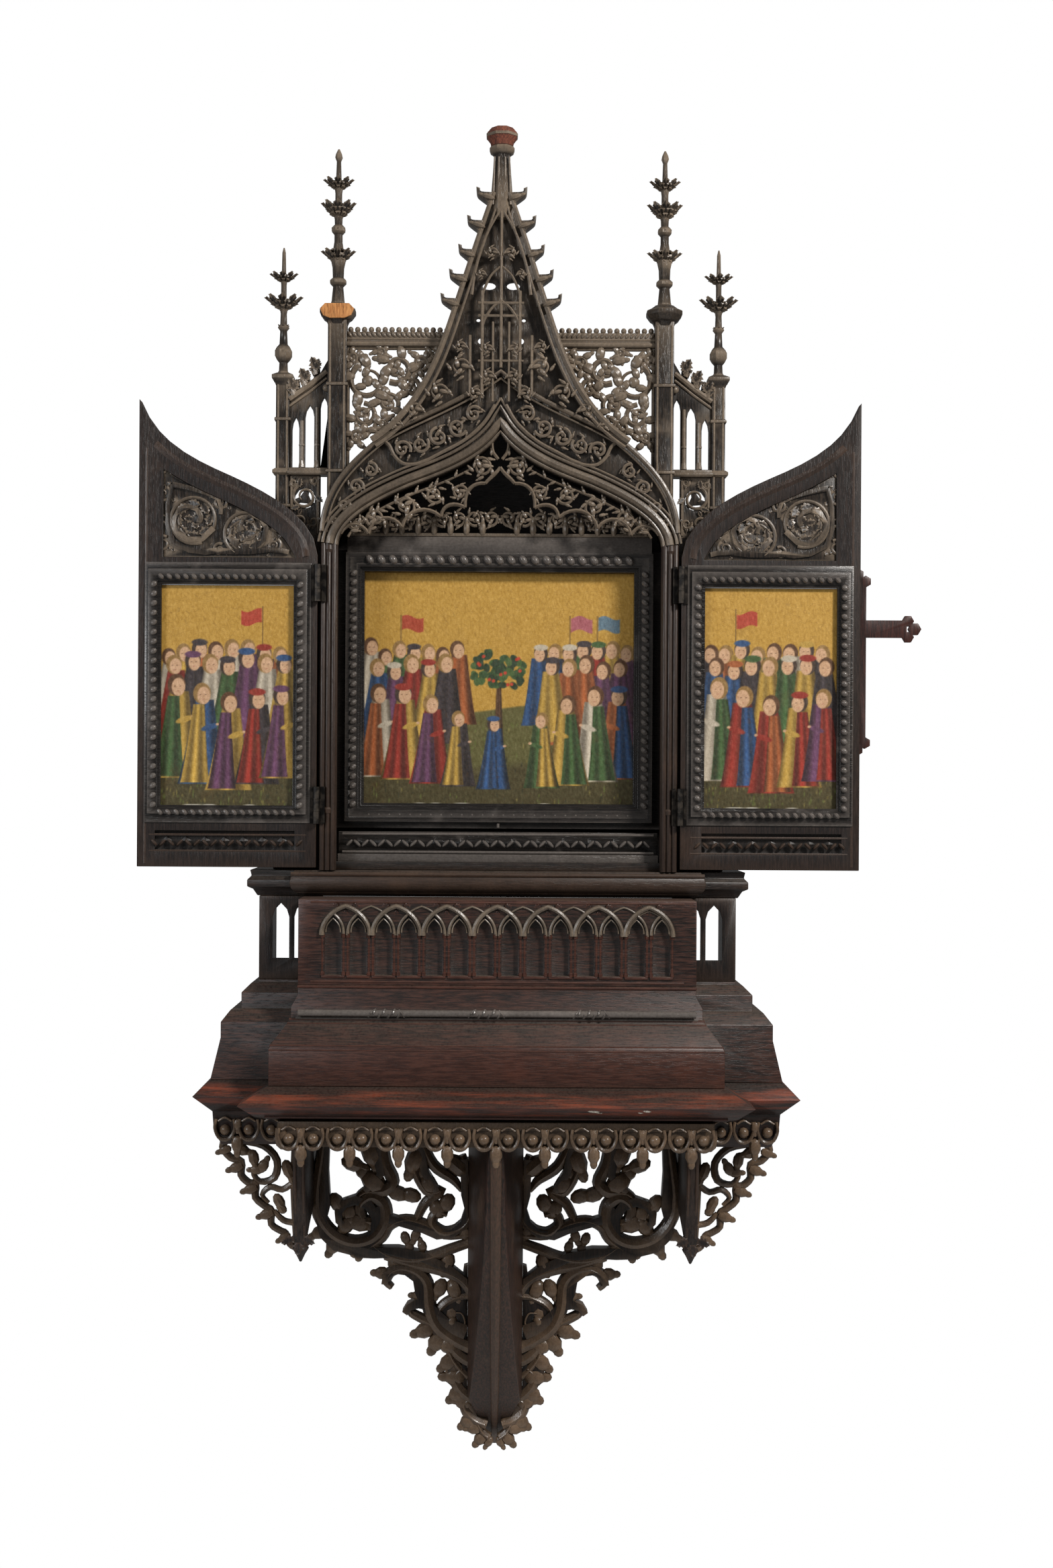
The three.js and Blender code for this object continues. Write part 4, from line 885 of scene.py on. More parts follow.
def niche_band():
    low, high = span("vault_tracery")
    middle, base = depth_of("vault_tracery"), low[2]
    parts = [block((low[0], low[1], base), (high[0], high[1], base + 5), 1.0)]
    strokes, spots = [], []
    for i in range(9):
        x = 14 + i * 24.5
        radius = 12 - 0.35 * i
        centre = (x, base + 19 + 9 * math.cos(i * 0.25))
        turns = 1.3 if i % 2 else -1.3
        start = 250 if i % 2 else -70
        strokes += [scroll(side, centre, radius, 3.5, start, turns, 2.4) for side in (1, -1)]
        spots += ring_of_leaves(centre, 3, 70 * i, 3, 11, 1.05)
        spots += ring_of_leaves(centre, radius, 40 * i, 4, 9, 0.95, 60)
        spots.append((x + 12, base + 5, 90, 24, 0.8))
    parts.append(stems(strokes, middle, deepen=1.5))
    parts += [lobes(spots, middle - 1.5, side) for side in (1, -1)]
    return parts


done("niche_tracery", niche_band(), "case", dusty_oak, ("vault_tracery",))

# %% [markdown]
# ## The gable and spire
# The gable rises from the hood in two long hollow curves that meet in an octagonal shaft. Hooked leaves,
# called crockets, climb its edges. Between its rails stand mullions, bars and leaf work, with a few real
# openings. The finial that once stood on the shaft is lost, so its cap is bare, broken wood.
# %% Gable
CROCKETS = [(557, 90), (593, 77.5), (630, 64), (673, 51), (715, 37.5)]
GABLE_WINDOWS = [(18, 577, 20, 11), (30, 495, 9, 9), (34, 526, 6, 5)]
GABLE_SCROLLS = [
    ((60, 452), 14), ((92, 414), 14), ((128, 388), 11), ((60, 482), 8), ((19, 438), 9), ((156, 367), 8),
    ((20, 478), 8), ((38, 412), 9), ((14, 622), 8), ((30, 590), 6),
]
GABLE_BACK = -131
SPIRE_DEPTH = -141


def oval(x, z, width, height):
    angle = np.linspace(0, 2 * math.pi, 12, endpoint=False)
    return np.stack([width / 2 * np.cos(angle) + x, height / 2 * np.sin(angle) + z], axis=1)


def gable_edge_at(z):
    return float(np.interp(z, GABLE[:, 1], GABLE[:, 0]))


def crocket(z, reach, side, front, back):
    """One hooked leaf that grows from the gable's edge and turns up at its tip."""
    foot, edge = gable_edge_at(z - 19) - 3, gable_edge_at(z) - 3
    hook = smooth([(foot, z - 19), (reach - 7, z - 11), (reach - 1, z - 5), (reach + 0.5, z + 5)], 4)
    back_line = smooth([(reach - 5, z + 3), (reach - 7, z - 2), (edge, z - 3)], 3)
    return board([mirrored(np.vstack([hook, back_line]), side)], front, back, 1.4)


def gable():
    front, back = front_of("gable"), GABLE_BACK
    foot = to_centre(offset(HOOD, 3.8))
    foot = foot[foot[:, 0] < 176]
    edge = evenly(GABLE, 24)
    outline = np.vstack([edge, edge[::-1] * (-1, 1), both_halves(foot)])
    windows = [oval(side * x, z, w, h) for x, z, w, h in GABLE_WINDOWS for side in (1, -1)]
    parts = [board([outline] + windows, back - 5, back, 0.8)]
    strokes, spots = [], []
    for side in (1, -1):
        for distance, half in ((-4.5, 4.6), (-15, 2.2)):
            rail = offset(GABLE, distance)
            strokes.append((mirrored(rail[rail[:, 0] > 2], side), half + 0.8, half, half * 0.8))
        for x, top, half in ((28, 566, 2.6), (46, 500, 2.2), (12, 520, 1.8)):
            strokes.append(([(side * x, 398 + 0.3 * x), (side * x, top)], half, half))
        for line, steps, halves in (
            ([(44, 560), (38, 600), (22, 650), (0, 690)], 5, (2.6, 2.4, 1.6)),
            ([(28, 500), (26, 520), (14, 540), (0, 552)], 4, (2.2, 2.2, 1.8)),
            ([(28, 552), (26, 566), (16, 588), (2, 602)], 4, (2.2, 2.0, 1.6)),
        ):
            strokes.append((mirrored(smooth(line, steps), side), *halves))
        for centre, radius in GABLE_SCROLLS:
            strokes.append(scroll(side, centre, radius, radius * 0.3, 190, -1.2, 2.3, 1.1))
            if side > 0:
                spots += ring_of_leaves(centre, radius * 0.3, 20, 3, radius, 1.0)
                spots += ring_of_leaves(centre, radius * 1.05, 75, 4, radius * 0.8, 0.9, 70)
        parts += [crocket(z, reach, side, front + 3, back - 2) for z, reach in CROCKETS]
    for z, half in ((548, 2.2), (529, 2.0), (462, 1.8)):
        strokes.append(([(-34, z), (34, z)], half, half))
    strokes.append(([(0, 452), (0, 690)], 2.4, 2.2))
    spots += [(gable_edge_at(z) - 2, z - 12, 18, reach - gable_edge_at(z), 0.8) for z, reach in CROCKETS]
    parts.append(stems(strokes, front + 8, deepen=1.35))
    parts += [lobes(spots, front + 5, side) for side in (1, -1)]
    shaft = [(676, 10), (690, 15.5), (716, 15.5), (745, 13.4), (770, 12), (774, 17), (779, 18.6),
        (782.8, 16.5)]
    parts.append(turned(shaft, 0, SPIRE_DEPTH, 8))
    parts.append(turned([(795.5, 20), (797, 23), (800.5, 23.4), (802.5, 20)], 0, SPIRE_DEPTH, 8))
    ribs = [([(x, 694), (x * 0.86, 765)], 1.6, 1.3) for x in (-13, -5.5, 5.5, 13)]
    parts.append(stems(ribs, SPIRE_DEPTH - 13))
    return parts


done("gable_and_spire", gable(), "case", dusty_oak, ("gable",))
cap = turned([(783.3, 16), (790, 17.5), (797, 22.5), (802, 22.5), (807, 18.5), (811, 15)], 0, SPIRE_DEPTH, 8)
eased(cap, 1.0)
done("broken_spire_cap", [cap], "case", raw_oak, ("spire_cap",))

# %% [markdown]
# ## The gallery beside the gable
# A rail with a cable and small teeth runs from the gable to each pinnacle. Under it, large scrolls with a
# round boss stand open against the light.
# %% Gallery
GALLERY_SCROLLS = [
    ((200, 437), 27, 16, 60, -0.9), ((156, 455), 22, 5, 300, -1.4), ((205, 386), 18, 5, 90, 1.4),
    ((168, 404), 15, 4, 200, -1.3), ((133, 428), 13, 4, 60, 1.3), ((178, 368), 12, 4, 300, 1.2),
    ((216, 352), 10, 3, 150, -1.2), ((120, 464), 12, 4, 250, -1.2), ((98, 476), 8, 3, 60, 1.2),
    ((222, 470), 9, 3, 330, 1.2), ((180, 480), 6, 2, 200, -1.2),
]
RAIL_START = 76  # where the rail comes out from behind the gable


def gallery_scrolls(hand, side):
    middle = depth_of(f"{hand}_gallery_panel")
    strokes, spots = [], []
    for centre, radius, eye, start, turns in GALLERY_SCROLLS:
        line = curl(centre, radius, eye, start, start + 360 * turns, 20)
        strokes.append((mirrored(line, side), 5.0 if radius > 20 else 4.0, 4.2, 2.0))
        swirl = -35 if turns < 0 else 35
        spots += ring_of_leaves(centre, radius * 0.9, start + 30, 5, 10 + radius * 0.55, 1.25, swirl)
        spots += ring_of_leaves(centre, eye * 0.6, start, 3, 6 + radius * 0.45, 1.25)
    for foot in ((229, 306), (84, 486)):
        strokes.append((mirrored([foot, (229, 486)], side), 2.4, 2.4))
    parts = [stems(strokes, middle, deepen=1.6), lobes(spots, middle - 2.5, side)]
    parts.append(beads([(side * 200, 437)], middle - 1, 9, 9, 6, 0))
    sheet = mirrored([(56, 424), (60, 400), (100, 372), (150, 346), (210, 322), (229, 300), (150, 300)], side)
    parts.append(board([sheet], middle - 2, middle + 4, 0.8))
    return parts


def gallery_rail(hand, side):
    low, high = span(f"{hand}_gallery_rail")
    inner, outer = sorted((abs(low[0]), abs(high[0])))
    front, foot, top = low[1], low[2], high[2]
    xs = sorted((side * inner, side * outer))
    parts = [block((xs[0], front + 4, foot), (xs[1], high[1], top - 8), 1.2)]
    rolls = []
    for z, half in ((foot + 4, 3.6), (foot + 11.5, 1.8)):
        rolls.append(([(side * inner, z), (side * outer, z)], half, half))
    parts.append(stems(rolls, front + 4.6, sides=2))
    cable = row((side * RAIL_START, foot + 18), (side * outer, foot + 18), 7.2)
    teeth = row((side * RAIL_START, top - 4.5), (side * outer, top - 4.5), 10.2)
    parts.append(beads(cable, front + 4.5, 2.6, 5.6, 3.4, 38 * side))
    parts.append(beads(teeth, front + 8, 4.3, 4.6, 5, 0))
    return parts


both_sides(
    ("gallery_scrolls", gallery_scrolls, "dusty_oak", dusty_oak, "gallery_panel"),
    ("gallery_rail_cable", gallery_rail, "dusty_oak", dusty_oak, "gallery_rail"),
)

# %% [markdown]
# ## Pinnacles
# Each pinnacle is a square shaft with a sunk face, a moulded cap, and a thin stem with rings of leaves. The
# stem is turned ring by ring, and each ring of leaves is made by turning copies of the leaf round it. The
# front of the left cap has broken away, and the break shows bare orange oak.
# %% Pinnacles
INNER_STEM = [
    (548, 12), (556, 9.5), (578, 7.5), (583, 12), (587, 12), (591, 8), (606, 8.5), (618, 11), (632, 8),
    (645, 6),
    (656, 6), (661, 10), (666, 10), (671, 5.5), (684, 6), (696, 8), (704, 5), (718, 5), (732, 7), (740, 4),
    (766, 3.2), (772, 5.5), (777, 4.5), (784.5, 1.2),
]
OUTER_STEM = [
    (448, 10), (454, 6.5), (466, 6), (471, 10), (476, 12.5), (484, 12.5), (489, 10), (494, 6), (514, 5),
    (519, 8.5), (524, 5), (540, 4.5), (556, 7), (564, 4), (584, 4), (595, 5.5), (602, 3.2), (632, 2.6),
    (639.5, 1.0),
]
# Rings of leaves: height, reach, rise, how many, how broad and how far turned.
INNER_WHORLS = [
    (614, 27, 12, 8, 0.9), (634, 19, -8, 8, 0.8, 22), (682, 28, 16, 8), (690, 22, 3, 8, 0.9, 22),
    (724, 24, 10, 8), (728, 18, 1, 8, 0.9, 22), (657, 12, 5, 6),
]
OUTER_WHORLS = [
    (546, 30, 13, 8, 0.95), (552, 22, 1, 8, 0.9, 22), (588, 22, 8, 8), (592, 16, 0, 8, 0.9, 22),
    (516, 10, 5, 6), (474, 13, 6, 8, 1.2),
]


def shaft(x, y, half, foot, top, steps):
    """A square shaft with narrow mouldings round it, and a roll down each face."""
    profile = [(foot, half)]
    for z in steps:
        profile += [(z - 3, half), (z - 2, half + 2), (z + 2, half + 2), (z + 3, half)]
    profile.append((top, half))
    post = turned(profile, x, y, 4)
    eased(post, 0.7)
    rolls = [([(x + dx, foot + 6), (x + dx, top - 6)], 1.7, 1.7) for dx in (3.4 - half, half - 3.4)]
    return [post, stems(rolls, y - half, sides=1)]


def inner_pinnacle(hand, side):
    low, high = span(f"{hand}_inner_pinnacle")
    x, y = (low[0] + high[0]) / 2, -121.5
    parts = shaft(x, y, 14, low[2], 526, (300, 430))
    cap_rings = [(520, 14.5), (526, 17), (529, 21), (537, 26.5), (543, 26.5), (547, 19), (552, 13)]
    cap = turned(cap_rings, x, y, 8)
    if side < 0:
        cut_front(cap, y - 19)
    eased(cap, 0.7)
    parts += [cap, turned(INNER_STEM, x, y, 8)]
    return parts + [whorl(x, y, *ring) for ring in INNER_WHORLS]


def cut_front(piece, at_y):
    """Breaks away what stands in front of a plane, and leaves a closed face there."""
    choose(piece)
    bpy.ops.object.mode_set(mode="EDIT")
    bpy.ops.mesh.select_all(action="SELECT")
    bpy.ops.mesh.bisect(
        plane_co=(0, at_y * MM, 0), plane_no=(0, 1, 0), use_fill=True, clear_inner=True, clear_outer=False,
    )
    bpy.ops.object.mode_set(mode="OBJECT")


def outer_pinnacle(hand, side):
    x, y = side * 328, -108
    parts = shaft(x, y, 10, span(f"{hand}_outer_pinnacle")[0][2], 438, (250, 301, 380))
    cap = turned([(430, 10), (436, 12), (441, 16), (446, 16), (450, 9)], x, y, 4)
    ledge = turned([(296, 11), (299, 14.5), (303, 14.5), (306, 11)], x, y, 4)
    eased(cap, 0.6)
    parts += [cap, ledge, turned(OUTER_STEM, x, y, 8)]
    return parts + [whorl(x, y, *ring) for ring in OUTER_WHORLS]


both_sides(
    ("inner_pinnacle_leaves", inner_pinnacle, "dusty_oak", dusty_oak, "inner_pinnacle"),
    ("outer_pinnacle_leaves", outer_pinnacle, "dusty_oak", dusty_oak, "outer_pinnacle"),
)


def broken_face():
    """The bare wood where the left cap has broken: a thin rough plate on the break."""
    outline = [
        (-270.5, 541), (-266, 531), (-256, 527), (-234, 527), (-224, 531), (-219.5, 541), (-227, 549),
        (-263, 549),
    ]
    plate = board([outline], -142.6, -139.6, 0.5)
    rng = np.random.default_rng(4)
    for vertex in plate.data.vertices:
        vertex.co.y += rng.uniform(-0.4, 0.4) * MM
    return plate


done("left_cap_break", [broken_face()], "case", orange_oak)

# %% [markdown]
# ## Buttress screens and side scrolls
# Between the pinnacles stand two thin colonnettes under a raking rail with crockets, and below their ledge
# a small panel of scrolls.
# %% Buttress screens


def buttress(hand, side):
    front, middle = front_of(f"{hand}_buttress_screen"), -108
    parts = [refined(f"{hand}_buttress_screen", 0.6)]
    strokes = []
    for x, top in ((299, 378), (276, 398)):
        strokes.append((mirrored([(x, 306), (x, top)], side), 3.3, 2.9))
        strokes.append((mirrored([(x, 308), (x, 318)], side), 5.0, 3.6))
        strokes.append((mirrored([(x, 340), (x, 343)], side), 4.4, 4.4))
    rake = np.array([(318, 410), (290, 430), (262, 452)])
    strokes.append((mirrored(rake, side), 4.6, 4.6))
    strokes.append((mirrored(rake - (0, 10), side), 2.2, 2.2))
    hooks = ((308, 424), (291, 438), (275, 455))
    for x, z in hooks:
        hook = smooth([(x + 3, z - 8), (x + 7, z + 3), (x + 4, z + 15)], 3)
        strokes.append((mirrored(hook, side), 5, 4.5, 1.6))
    parts.append(stems(strokes, middle - 6, deepen=1.2, sides=2))
    spots = []
    for x, z in hooks:
        spots += [(x, z, 60, 20, 1.3), (x + 4, z, 110, 16, 1.2), (x, z - 4, 20, 14, 1.1)]
    parts.append(leaves(spots, middle - 9, side))
    rail = sorted((side * 257, side * 320))
    parts.append(block((rail[0], front - 1, 297), (rail[1], front + 9, 302), 1.2))
    parts.append(beads([(side * 262, 427)], middle - 10, 6, 6, 5, 0))
    return parts


def side_scrolls(hand, side):
    middle = -108
    parts = [refined(f"{hand}_side_scroll_panel", 0.6)]
    strokes, spots = [], []
    for centre, radius, start, turns in (
        ((294, 264), 19, 60, -1.3), ((301, 226), 13, 200, 1.3), ((281, 226), 8, 20, -1.2),
        ((311, 284), 6, 200, 1.2), ((279, 288), 6, 20, -1.2),
    ):
        strokes.append(scroll(side, centre, radius, radius * 0.35, start, turns, 2.6, 1.3))
        spots += ring_of_leaves(centre, radius * 0.9, start, 3, radius * 0.7, 1.0, 40)
    for x in (274, 314):
        strokes.append((mirrored([(x, 208), (x, 294)], side), 2.4, 2.4))
    parts.append(stems(strokes, middle - 6, deepen=1.2))
    parts.append(leaves(spots, middle - 8, side))
    return parts


both_sides(
    ("buttress_colonnettes", buttress, "dusty_oak", dusty_oak, "buttress_screen"),
    ("side_scrolls", side_scrolls, "dusty_oak", dusty_oak, "side_scroll_panel"),
)

# %% [markdown]
# ## Picture frames with beads
# The frames step in towards the pictures. Each is made of rings, one inside the other and each deeper than
# the last, and rows of slanted beads stand between them.
# %% Picture frames
HINGE_X = 270


def framed(half, low, high, rings, back):
    """A frame of rings that step in to its opening. Each ring gives how far its outer and inner edges
    stand outside the opening, and its front."""
    parts = []
    for outer, inner, front in rings:
        edges = []
        for out in (outer, inner):
            x, foot, top = half + out, low - out, high + out
            edges.append([(-x, foot), (x, foot), (x, top), (-x, top)])
        parts.append(board(edges, front, back, 0.8))
    return parts


def centre_frame():
    low, high = span("picture_frame")
    front = low[1]
    parts = [refined("picture_frame", 0.5)]
    rings = ((28, 21, front - 0.4), (12, 7.5, front - 0.2), (7.5, 3.5, front + 5), (3.6, 0, front + 13))
    parts += framed(205, -197, 155, rings, high[1])
    for side in (1, -1):
        x = side * 221
        parts.append(beads(row((x, -206), (x, 158), 14), front - 0.5, 6.4, 4.6, 5, 40 * side))
    for half, z, pitch, depth, *bead in (
        (206, 172, 17.6, -0.5, 8, 5.6, 6, 55), (206, 164, 17.6, 5, 3.6, 3.2, 4, 0),
        (204, -214, 15.6, 3.5, 6, 2.8, 4, 35),
    ):
        parts.append(beads(row((-half, z), (half, z), pitch), front + depth, *bead))
    peg = turned([(-233, 2), (-227, 2)], 0, front - 1.5, 8)
    return parts + [peg]


done("picture_frame_beads", centre_frame(), "case", oak_with_painted_highlights, ("picture_frame",))


def wing_frame(hand, side):
    front = front_of(f"{hand}_wing_picture_frame")
    parts = [refined(f"{hand}_wing_picture_frame", 0.5)]
    middle = side * HINGE_X
    for u in (25.5, 243.5):
        x = middle + side * u
        parts.append(beads(row((x, -208), (x, 134), 14), front - 0.5, 5.6, 4.4, 4.5, 40 * side))
    for z in (138.5, -211.5):
        ends = sorted((middle + side * 30, middle + side * 239))
        parts.append(beads(row((ends[0], z), (ends[1], z), 12.5), front - 0.5, 5.4, 3.6, 4.5, 48))
    return parts


both_sides(("wing_frame_beads", wing_frame, "dark_oak", oak_with_painted_highlights, "wing_picture_frame"), body="_wing")

# %% [markdown]
# ## The wings
# Each wing keeps its plain panel from the frame, and gets a broad roll along its ogee edge, two rolls on its
# free edge and a zigzag strip of carving along its foot. Its tympanum holds two round scrolls full of leaves.
# %% Wings


def zigzag(spots):
    """Tilts that turn beads left and right by turns."""
    return [45 if i % 2 else -45 for i in range(len(spots))]


def on_wing(line, side):
    """A line drawn from the hinge outwards, placed on its wing."""
    return np.asarray(line, float) * (side, 1) + (side * HINGE_X, 0)


def wing_rolls(hand, side):
    front = front_of(f"{hand}_wing")
    parts = [refined(f"{hand}_wing", 0.9)]
    strokes = []
    for distance, half in ((17, 7.5), (6, 2.2), (28, 2.0)):
        line = offset(WING_TOP, distance)
        line = line[(line[:, 0] > 8) & (line[:, 0] < 262 - distance * 0.6)]
        strokes.append((on_wing(line, side), half, half))
    for u, half, top in ((256, 6, 330), (246, 3, 312), (264, 2, 372), (8, 3.2, 168)):
        strokes.append((on_wing([(u, -288), (u, top)], side), half, half))
    for z, half in ((163, 3), (-226, 2.6), (-288, 2.6)):
        strokes.append((on_wing([(14, z), (252, z)], side), half, half))
    parts.append(stems(strokes, front + 4.2, deepen=0.8, sides=2))
    strip = [(side * (HINGE_X + u), z) for u, z in row((20, -257), (248, -257), 13)]
    parts.append(beads(strip, front - 0.5, 6.4, 2.6, 3.4, zigzag(strip)))
    rails = [(on_wing([(16, z), (250, z)], side), 1.8, 1.8) for z in (-245, -269)]
    parts.append(stems(rails, front + 1.2))
    return parts


def tympanum(hand, side):
    front = front_of(f"{hand}_wing_tympanum")
    parts = [refined(f"{hand}_wing_tympanum", 0.5)]
    strokes, spots = [], []
    for centre, radius, start in (((186, 224), 36, 250), ((108, 204), 33, -60)):
        outer = curl(centre, radius, radius * 0.86, start, start + 330, 26)
        inner = curl(centre, radius * 0.86, 5, start + 330, start + 760, 26)
        strokes.append((on_wing(outer, side), 3.2, 3.0, 2.6))
        strokes.append((on_wing(inner, side), 2.6, 2.4, 1.4))
        spots += ring_of_leaves(centre, radius * 0.78, start, 8, 20, 1.15, 125)
        spots += ring_of_leaves(centre, 0, start, 3, 15, 1.3, 0)
    for centre, radius, turns in (
        ((147, 250), 11, 1.3), ((232, 188), 12, -1.3), ((232, 262), 12, 1.2), ((66, 186), 11, 1.3),
        ((148, 180), 9, -1.2), ((232, 300), 9, -1.2), ((62, 214), 8, -1.2), ((230, 226), 8, 1.2),
    ):
        line, *halves = scroll(1, centre, radius, radius * 0.3, 120, turns)
        strokes.append((on_wing(line, side), *halves))
        spots += ring_of_leaves(centre, radius * 0.3, 60, 3, radius * 1.0, 1.1)
        spots += ring_of_leaves(centre, radius * 1.1, 10, 4, radius * 0.9, 1.0, 60)
    parts.append(stems(strokes, front + 3.2, deepen=1.1, sides=2))
    placed = [(HINGE_X + u, z, angle, length, width) for u, z, angle, length, width in spots]
    parts.append(leaves(placed, front + 4.5, side))
    return parts


both_sides(
    ("wing_rolls", wing_rolls, "dark_oak", dark_oak, "wing"),
    ("tympanum_scrolls", tympanum, "dark_oak", dusty_oak, "wing_tympanum"),
    body="_wing",
)
cross = refined("closing_cross", 1.2)
done("closing_cross_oak", [cross], "right_wing", cross_oak, ("closing_cross",))

# %% [markdown]
# ## Frieze, sill and predella
# Under the picture runs a strip of small diamonds. The predella below has a blind arcade: fourteen pointed
# niches in seven pairs, each pair under a larger arch whose ribs cross its neighbours'.
# %% Frieze and sill


def sill_frieze():
    front = front_of("niche_sill_frieze")
    parts = [refined("niche_sill_frieze", 0.5)]
    strip = row((-230, -257), (230, -257), 12)
    parts.append(beads(strip, front - 1, 7.2, 2.8, 3.4, zigzag(strip)))
    parts.append(stems([([(-234, z), (234, z)], 2, 2) for z in (-243, -270)], front + 0.5, sides=2))
    return parts


done("niche_sill_diamonds", sill_frieze(), "case", oak_with_painted_highlights, ("niche_sill_frieze",))


def sill_rolls():
    parts = [refined("sill", 1.2)]
    rolls = []
    for z, half, reach, front in ((-303, 3.4, 308, -150), (-329, 2.4, 300, -143), (-312, 1.6, 308, -150)):
        rolls.append(stems([([(-reach, z), (reach, z)], half, half)], front + 1.2, sides=2))
    return parts + rolls


done("sill_rolls", sill_rolls(), "case", level_oak, ("sill",))

# %% Predella arcade
LANCET_PITCH = 36.8
COLUMN_ROLLS = ((-447, -388, 2.3, 2.3), (-392, -386, 3.6, 3.6), (-447, -441, 3.8, 3.2))


def pointed(centre, half, spring, apex, steps=8):
    """A pointed arch from its left springing over its apex to its right one."""
    shoulder = (-half, spring + (apex - spring) * 0.55)
    rise = bezier((-half, spring), shoulder, (-half * 0.45, apex - 4), (0, apex), steps)
    return np.vstack([rise, rise[:-1][::-1] * (-1, 1)]) + (centre, 0)


def predella():
    front = front_of("predella_front")
    parts = [refined("predella_front", 0.7)]
    ribs, columns, spots = [], [], []
    for i in range(14):
        x = (i - 6.5) * LANCET_PITCH
        ribs.append((pointed(x, 15.5, -386, -357), 2.6, 2.2))
        ribs.append((pointed(x, 10.8, -384, -364), 1.3, 1.2))
        for dx in (-15.5, 15.5):
            for foot, top, *halves in COLUMN_ROLLS:
                columns.append(([(x + dx, foot), (x + dx, top)], *halves))
        parts.append(block((x - 17, front - 1.5, -451), (x + 17, front + 7, -446.5), 1.0))
    for i in range(7):
        x = (i - 3) * 2 * LANCET_PITCH
        ribs.append((pointed(x, 35, -388, -346, 12), 4.2, 3.6))
        if i < 6:
            ribs.append((pointed(x + LANCET_PITCH, 35, -388, -346, 12), 1.8, 1.6))
        else:
            ribs.append((pointed(x, 31, -386, -351, 12), 1.4, 1.4))
        spots += [(x + s * 20, -350, 90 + s * 50, 12, 1.3) for s in (-1, 1)]
        spots += [(x, -360, 90, 9, 1.4)]
    # The ribs take the lighter dusty finish: dust, and partly a painted highlight that sets them off lighter
    # than the niches.
    done("predella_ribs", [stems(ribs, front, deepen=1.5, sides=2)], "case", dusty_oak)
    parts.append(stems(columns, front + 1.5))
    parts.append(leaves(spots, front + 1, 1))
    frame_lines = [([(-272, z), (272, z)], 2.0, 2.0) for z in (-340.5, -456)]
    parts.append(stems(frame_lines, front + 1))
    return parts


done("predella_arcade", predella(), "case", worn_oak, ("predella_front",))

# %% [markdown]
# ## Plinth, ribbon roll and shelf
# The plinth spreads in mouldings to the shelf, whose edge is worn to red-brown wood. A roll bound with
# ribbons lies along it. Its bindings are flat bands wound round the roll.
# %% Plinth and shelf


PREDELLA_FACE = 215  # how far the predella's front stands out from the wall


def ledge_roll(half, front, z, size):
    """A round moulding that runs round the front and the sides of the breakfront."""
    line = [(-half, z, PREDELLA_FACE), (-half, z, -front), (half, z, -front), (half, z, PREDELLA_FACE)]
    return stems([(line, size, size)], 0, sides=2)


def plinth():
    parts = [refined("plinth", 1.0)]
    for moulding in (
        (289, -216, -463.5, 2.4), (300, -225.5, -510, 2.4), (303, -229.5, -515.5, 1.6),
        (325.5, -251, -545, 1.8), (327, -253.5, -551, 1.4),
    ):
        parts.append(ledge_roll(*moulding))
    return parts


done("plinth_mouldings", plinth(), "case", worn_oak, ("plinth",))


ROLL_DEPTH = -230.8


def ribbon_roll():
    low, high = span("ribbon_roll")
    z = -500
    parts = [stems([([(low[0] + 2, z), (high[0] - 2, z)], 5.2, 5.2)], ROLL_DEPTH, sides=3)]
    bands = []
    for x in (-160, -15, 137):
        for shift in (-14, 0, 14):
            wound = []
            for step in range(13):
                angle = math.pi * 2 * step / 12
                at = x + shift + 9 * (step / 12 - 0.5)
                wound.append((at, z + 5.6 * math.sin(angle), 5.6 * math.cos(angle)))
            bands.append((wound, 1.6, 1.6))
        for shift in (-26, 26):
            end = [(x + shift, z - 5, 1), (x + shift * 0.86, z + 1, 5.8), (x + shift * 0.7, z + 5, 1)]
            bands.append((end, 1.4, 1.4))
    parts.append(stems(bands, ROLL_DEPTH))
    parts.append(stems([([(-292, -508), (292, -508)], 1.8, 1.8)], -226))
    return parts


done("ribbon_roll_bindings", ribbon_roll(), "case", oak_with_painted_highlights, ("ribbon_roll",))


def lip_front(z):
    """How far forward the slanting lip of the shelf stands at height z."""
    return -294 - (z + 626) * 22 / 18


def shelf():
    parts = [refined("shelf", 1.4)]
    return parts + [ledge_roll(330, -272.5, -644.5, 1.6), ledge_roll(328, -271, -634, 1.2)]


done("shelf_edge", shelf(), "case", shelf_oak, ("shelf",))
chips = [(138, -631, 9, 2.0), (214, -630, 6, 2.0), (205, -633, 4, 1.2), (146, -633.5, 5, 1.1)]
bits = [beads([(x, z)], lip_front(z), wide, tall, 1.6, 4) for x, z, wide, tall in chips]
done("shelf_edge_chips", bits, "case", chalk)

# %% [markdown]
# ## The frieze of drops
# Below the shelf hangs a row of cups with pointed drops between them, in front and on the shelf's ends. One
# cup is a ring of rolls round a dark socket with a ball in it.
# %% Frieze of drops
DROP_PITCH = 70
DROP_TOP, DROP_FOOT = -652.3, -689
SIDE_ROW_FRONT = -198


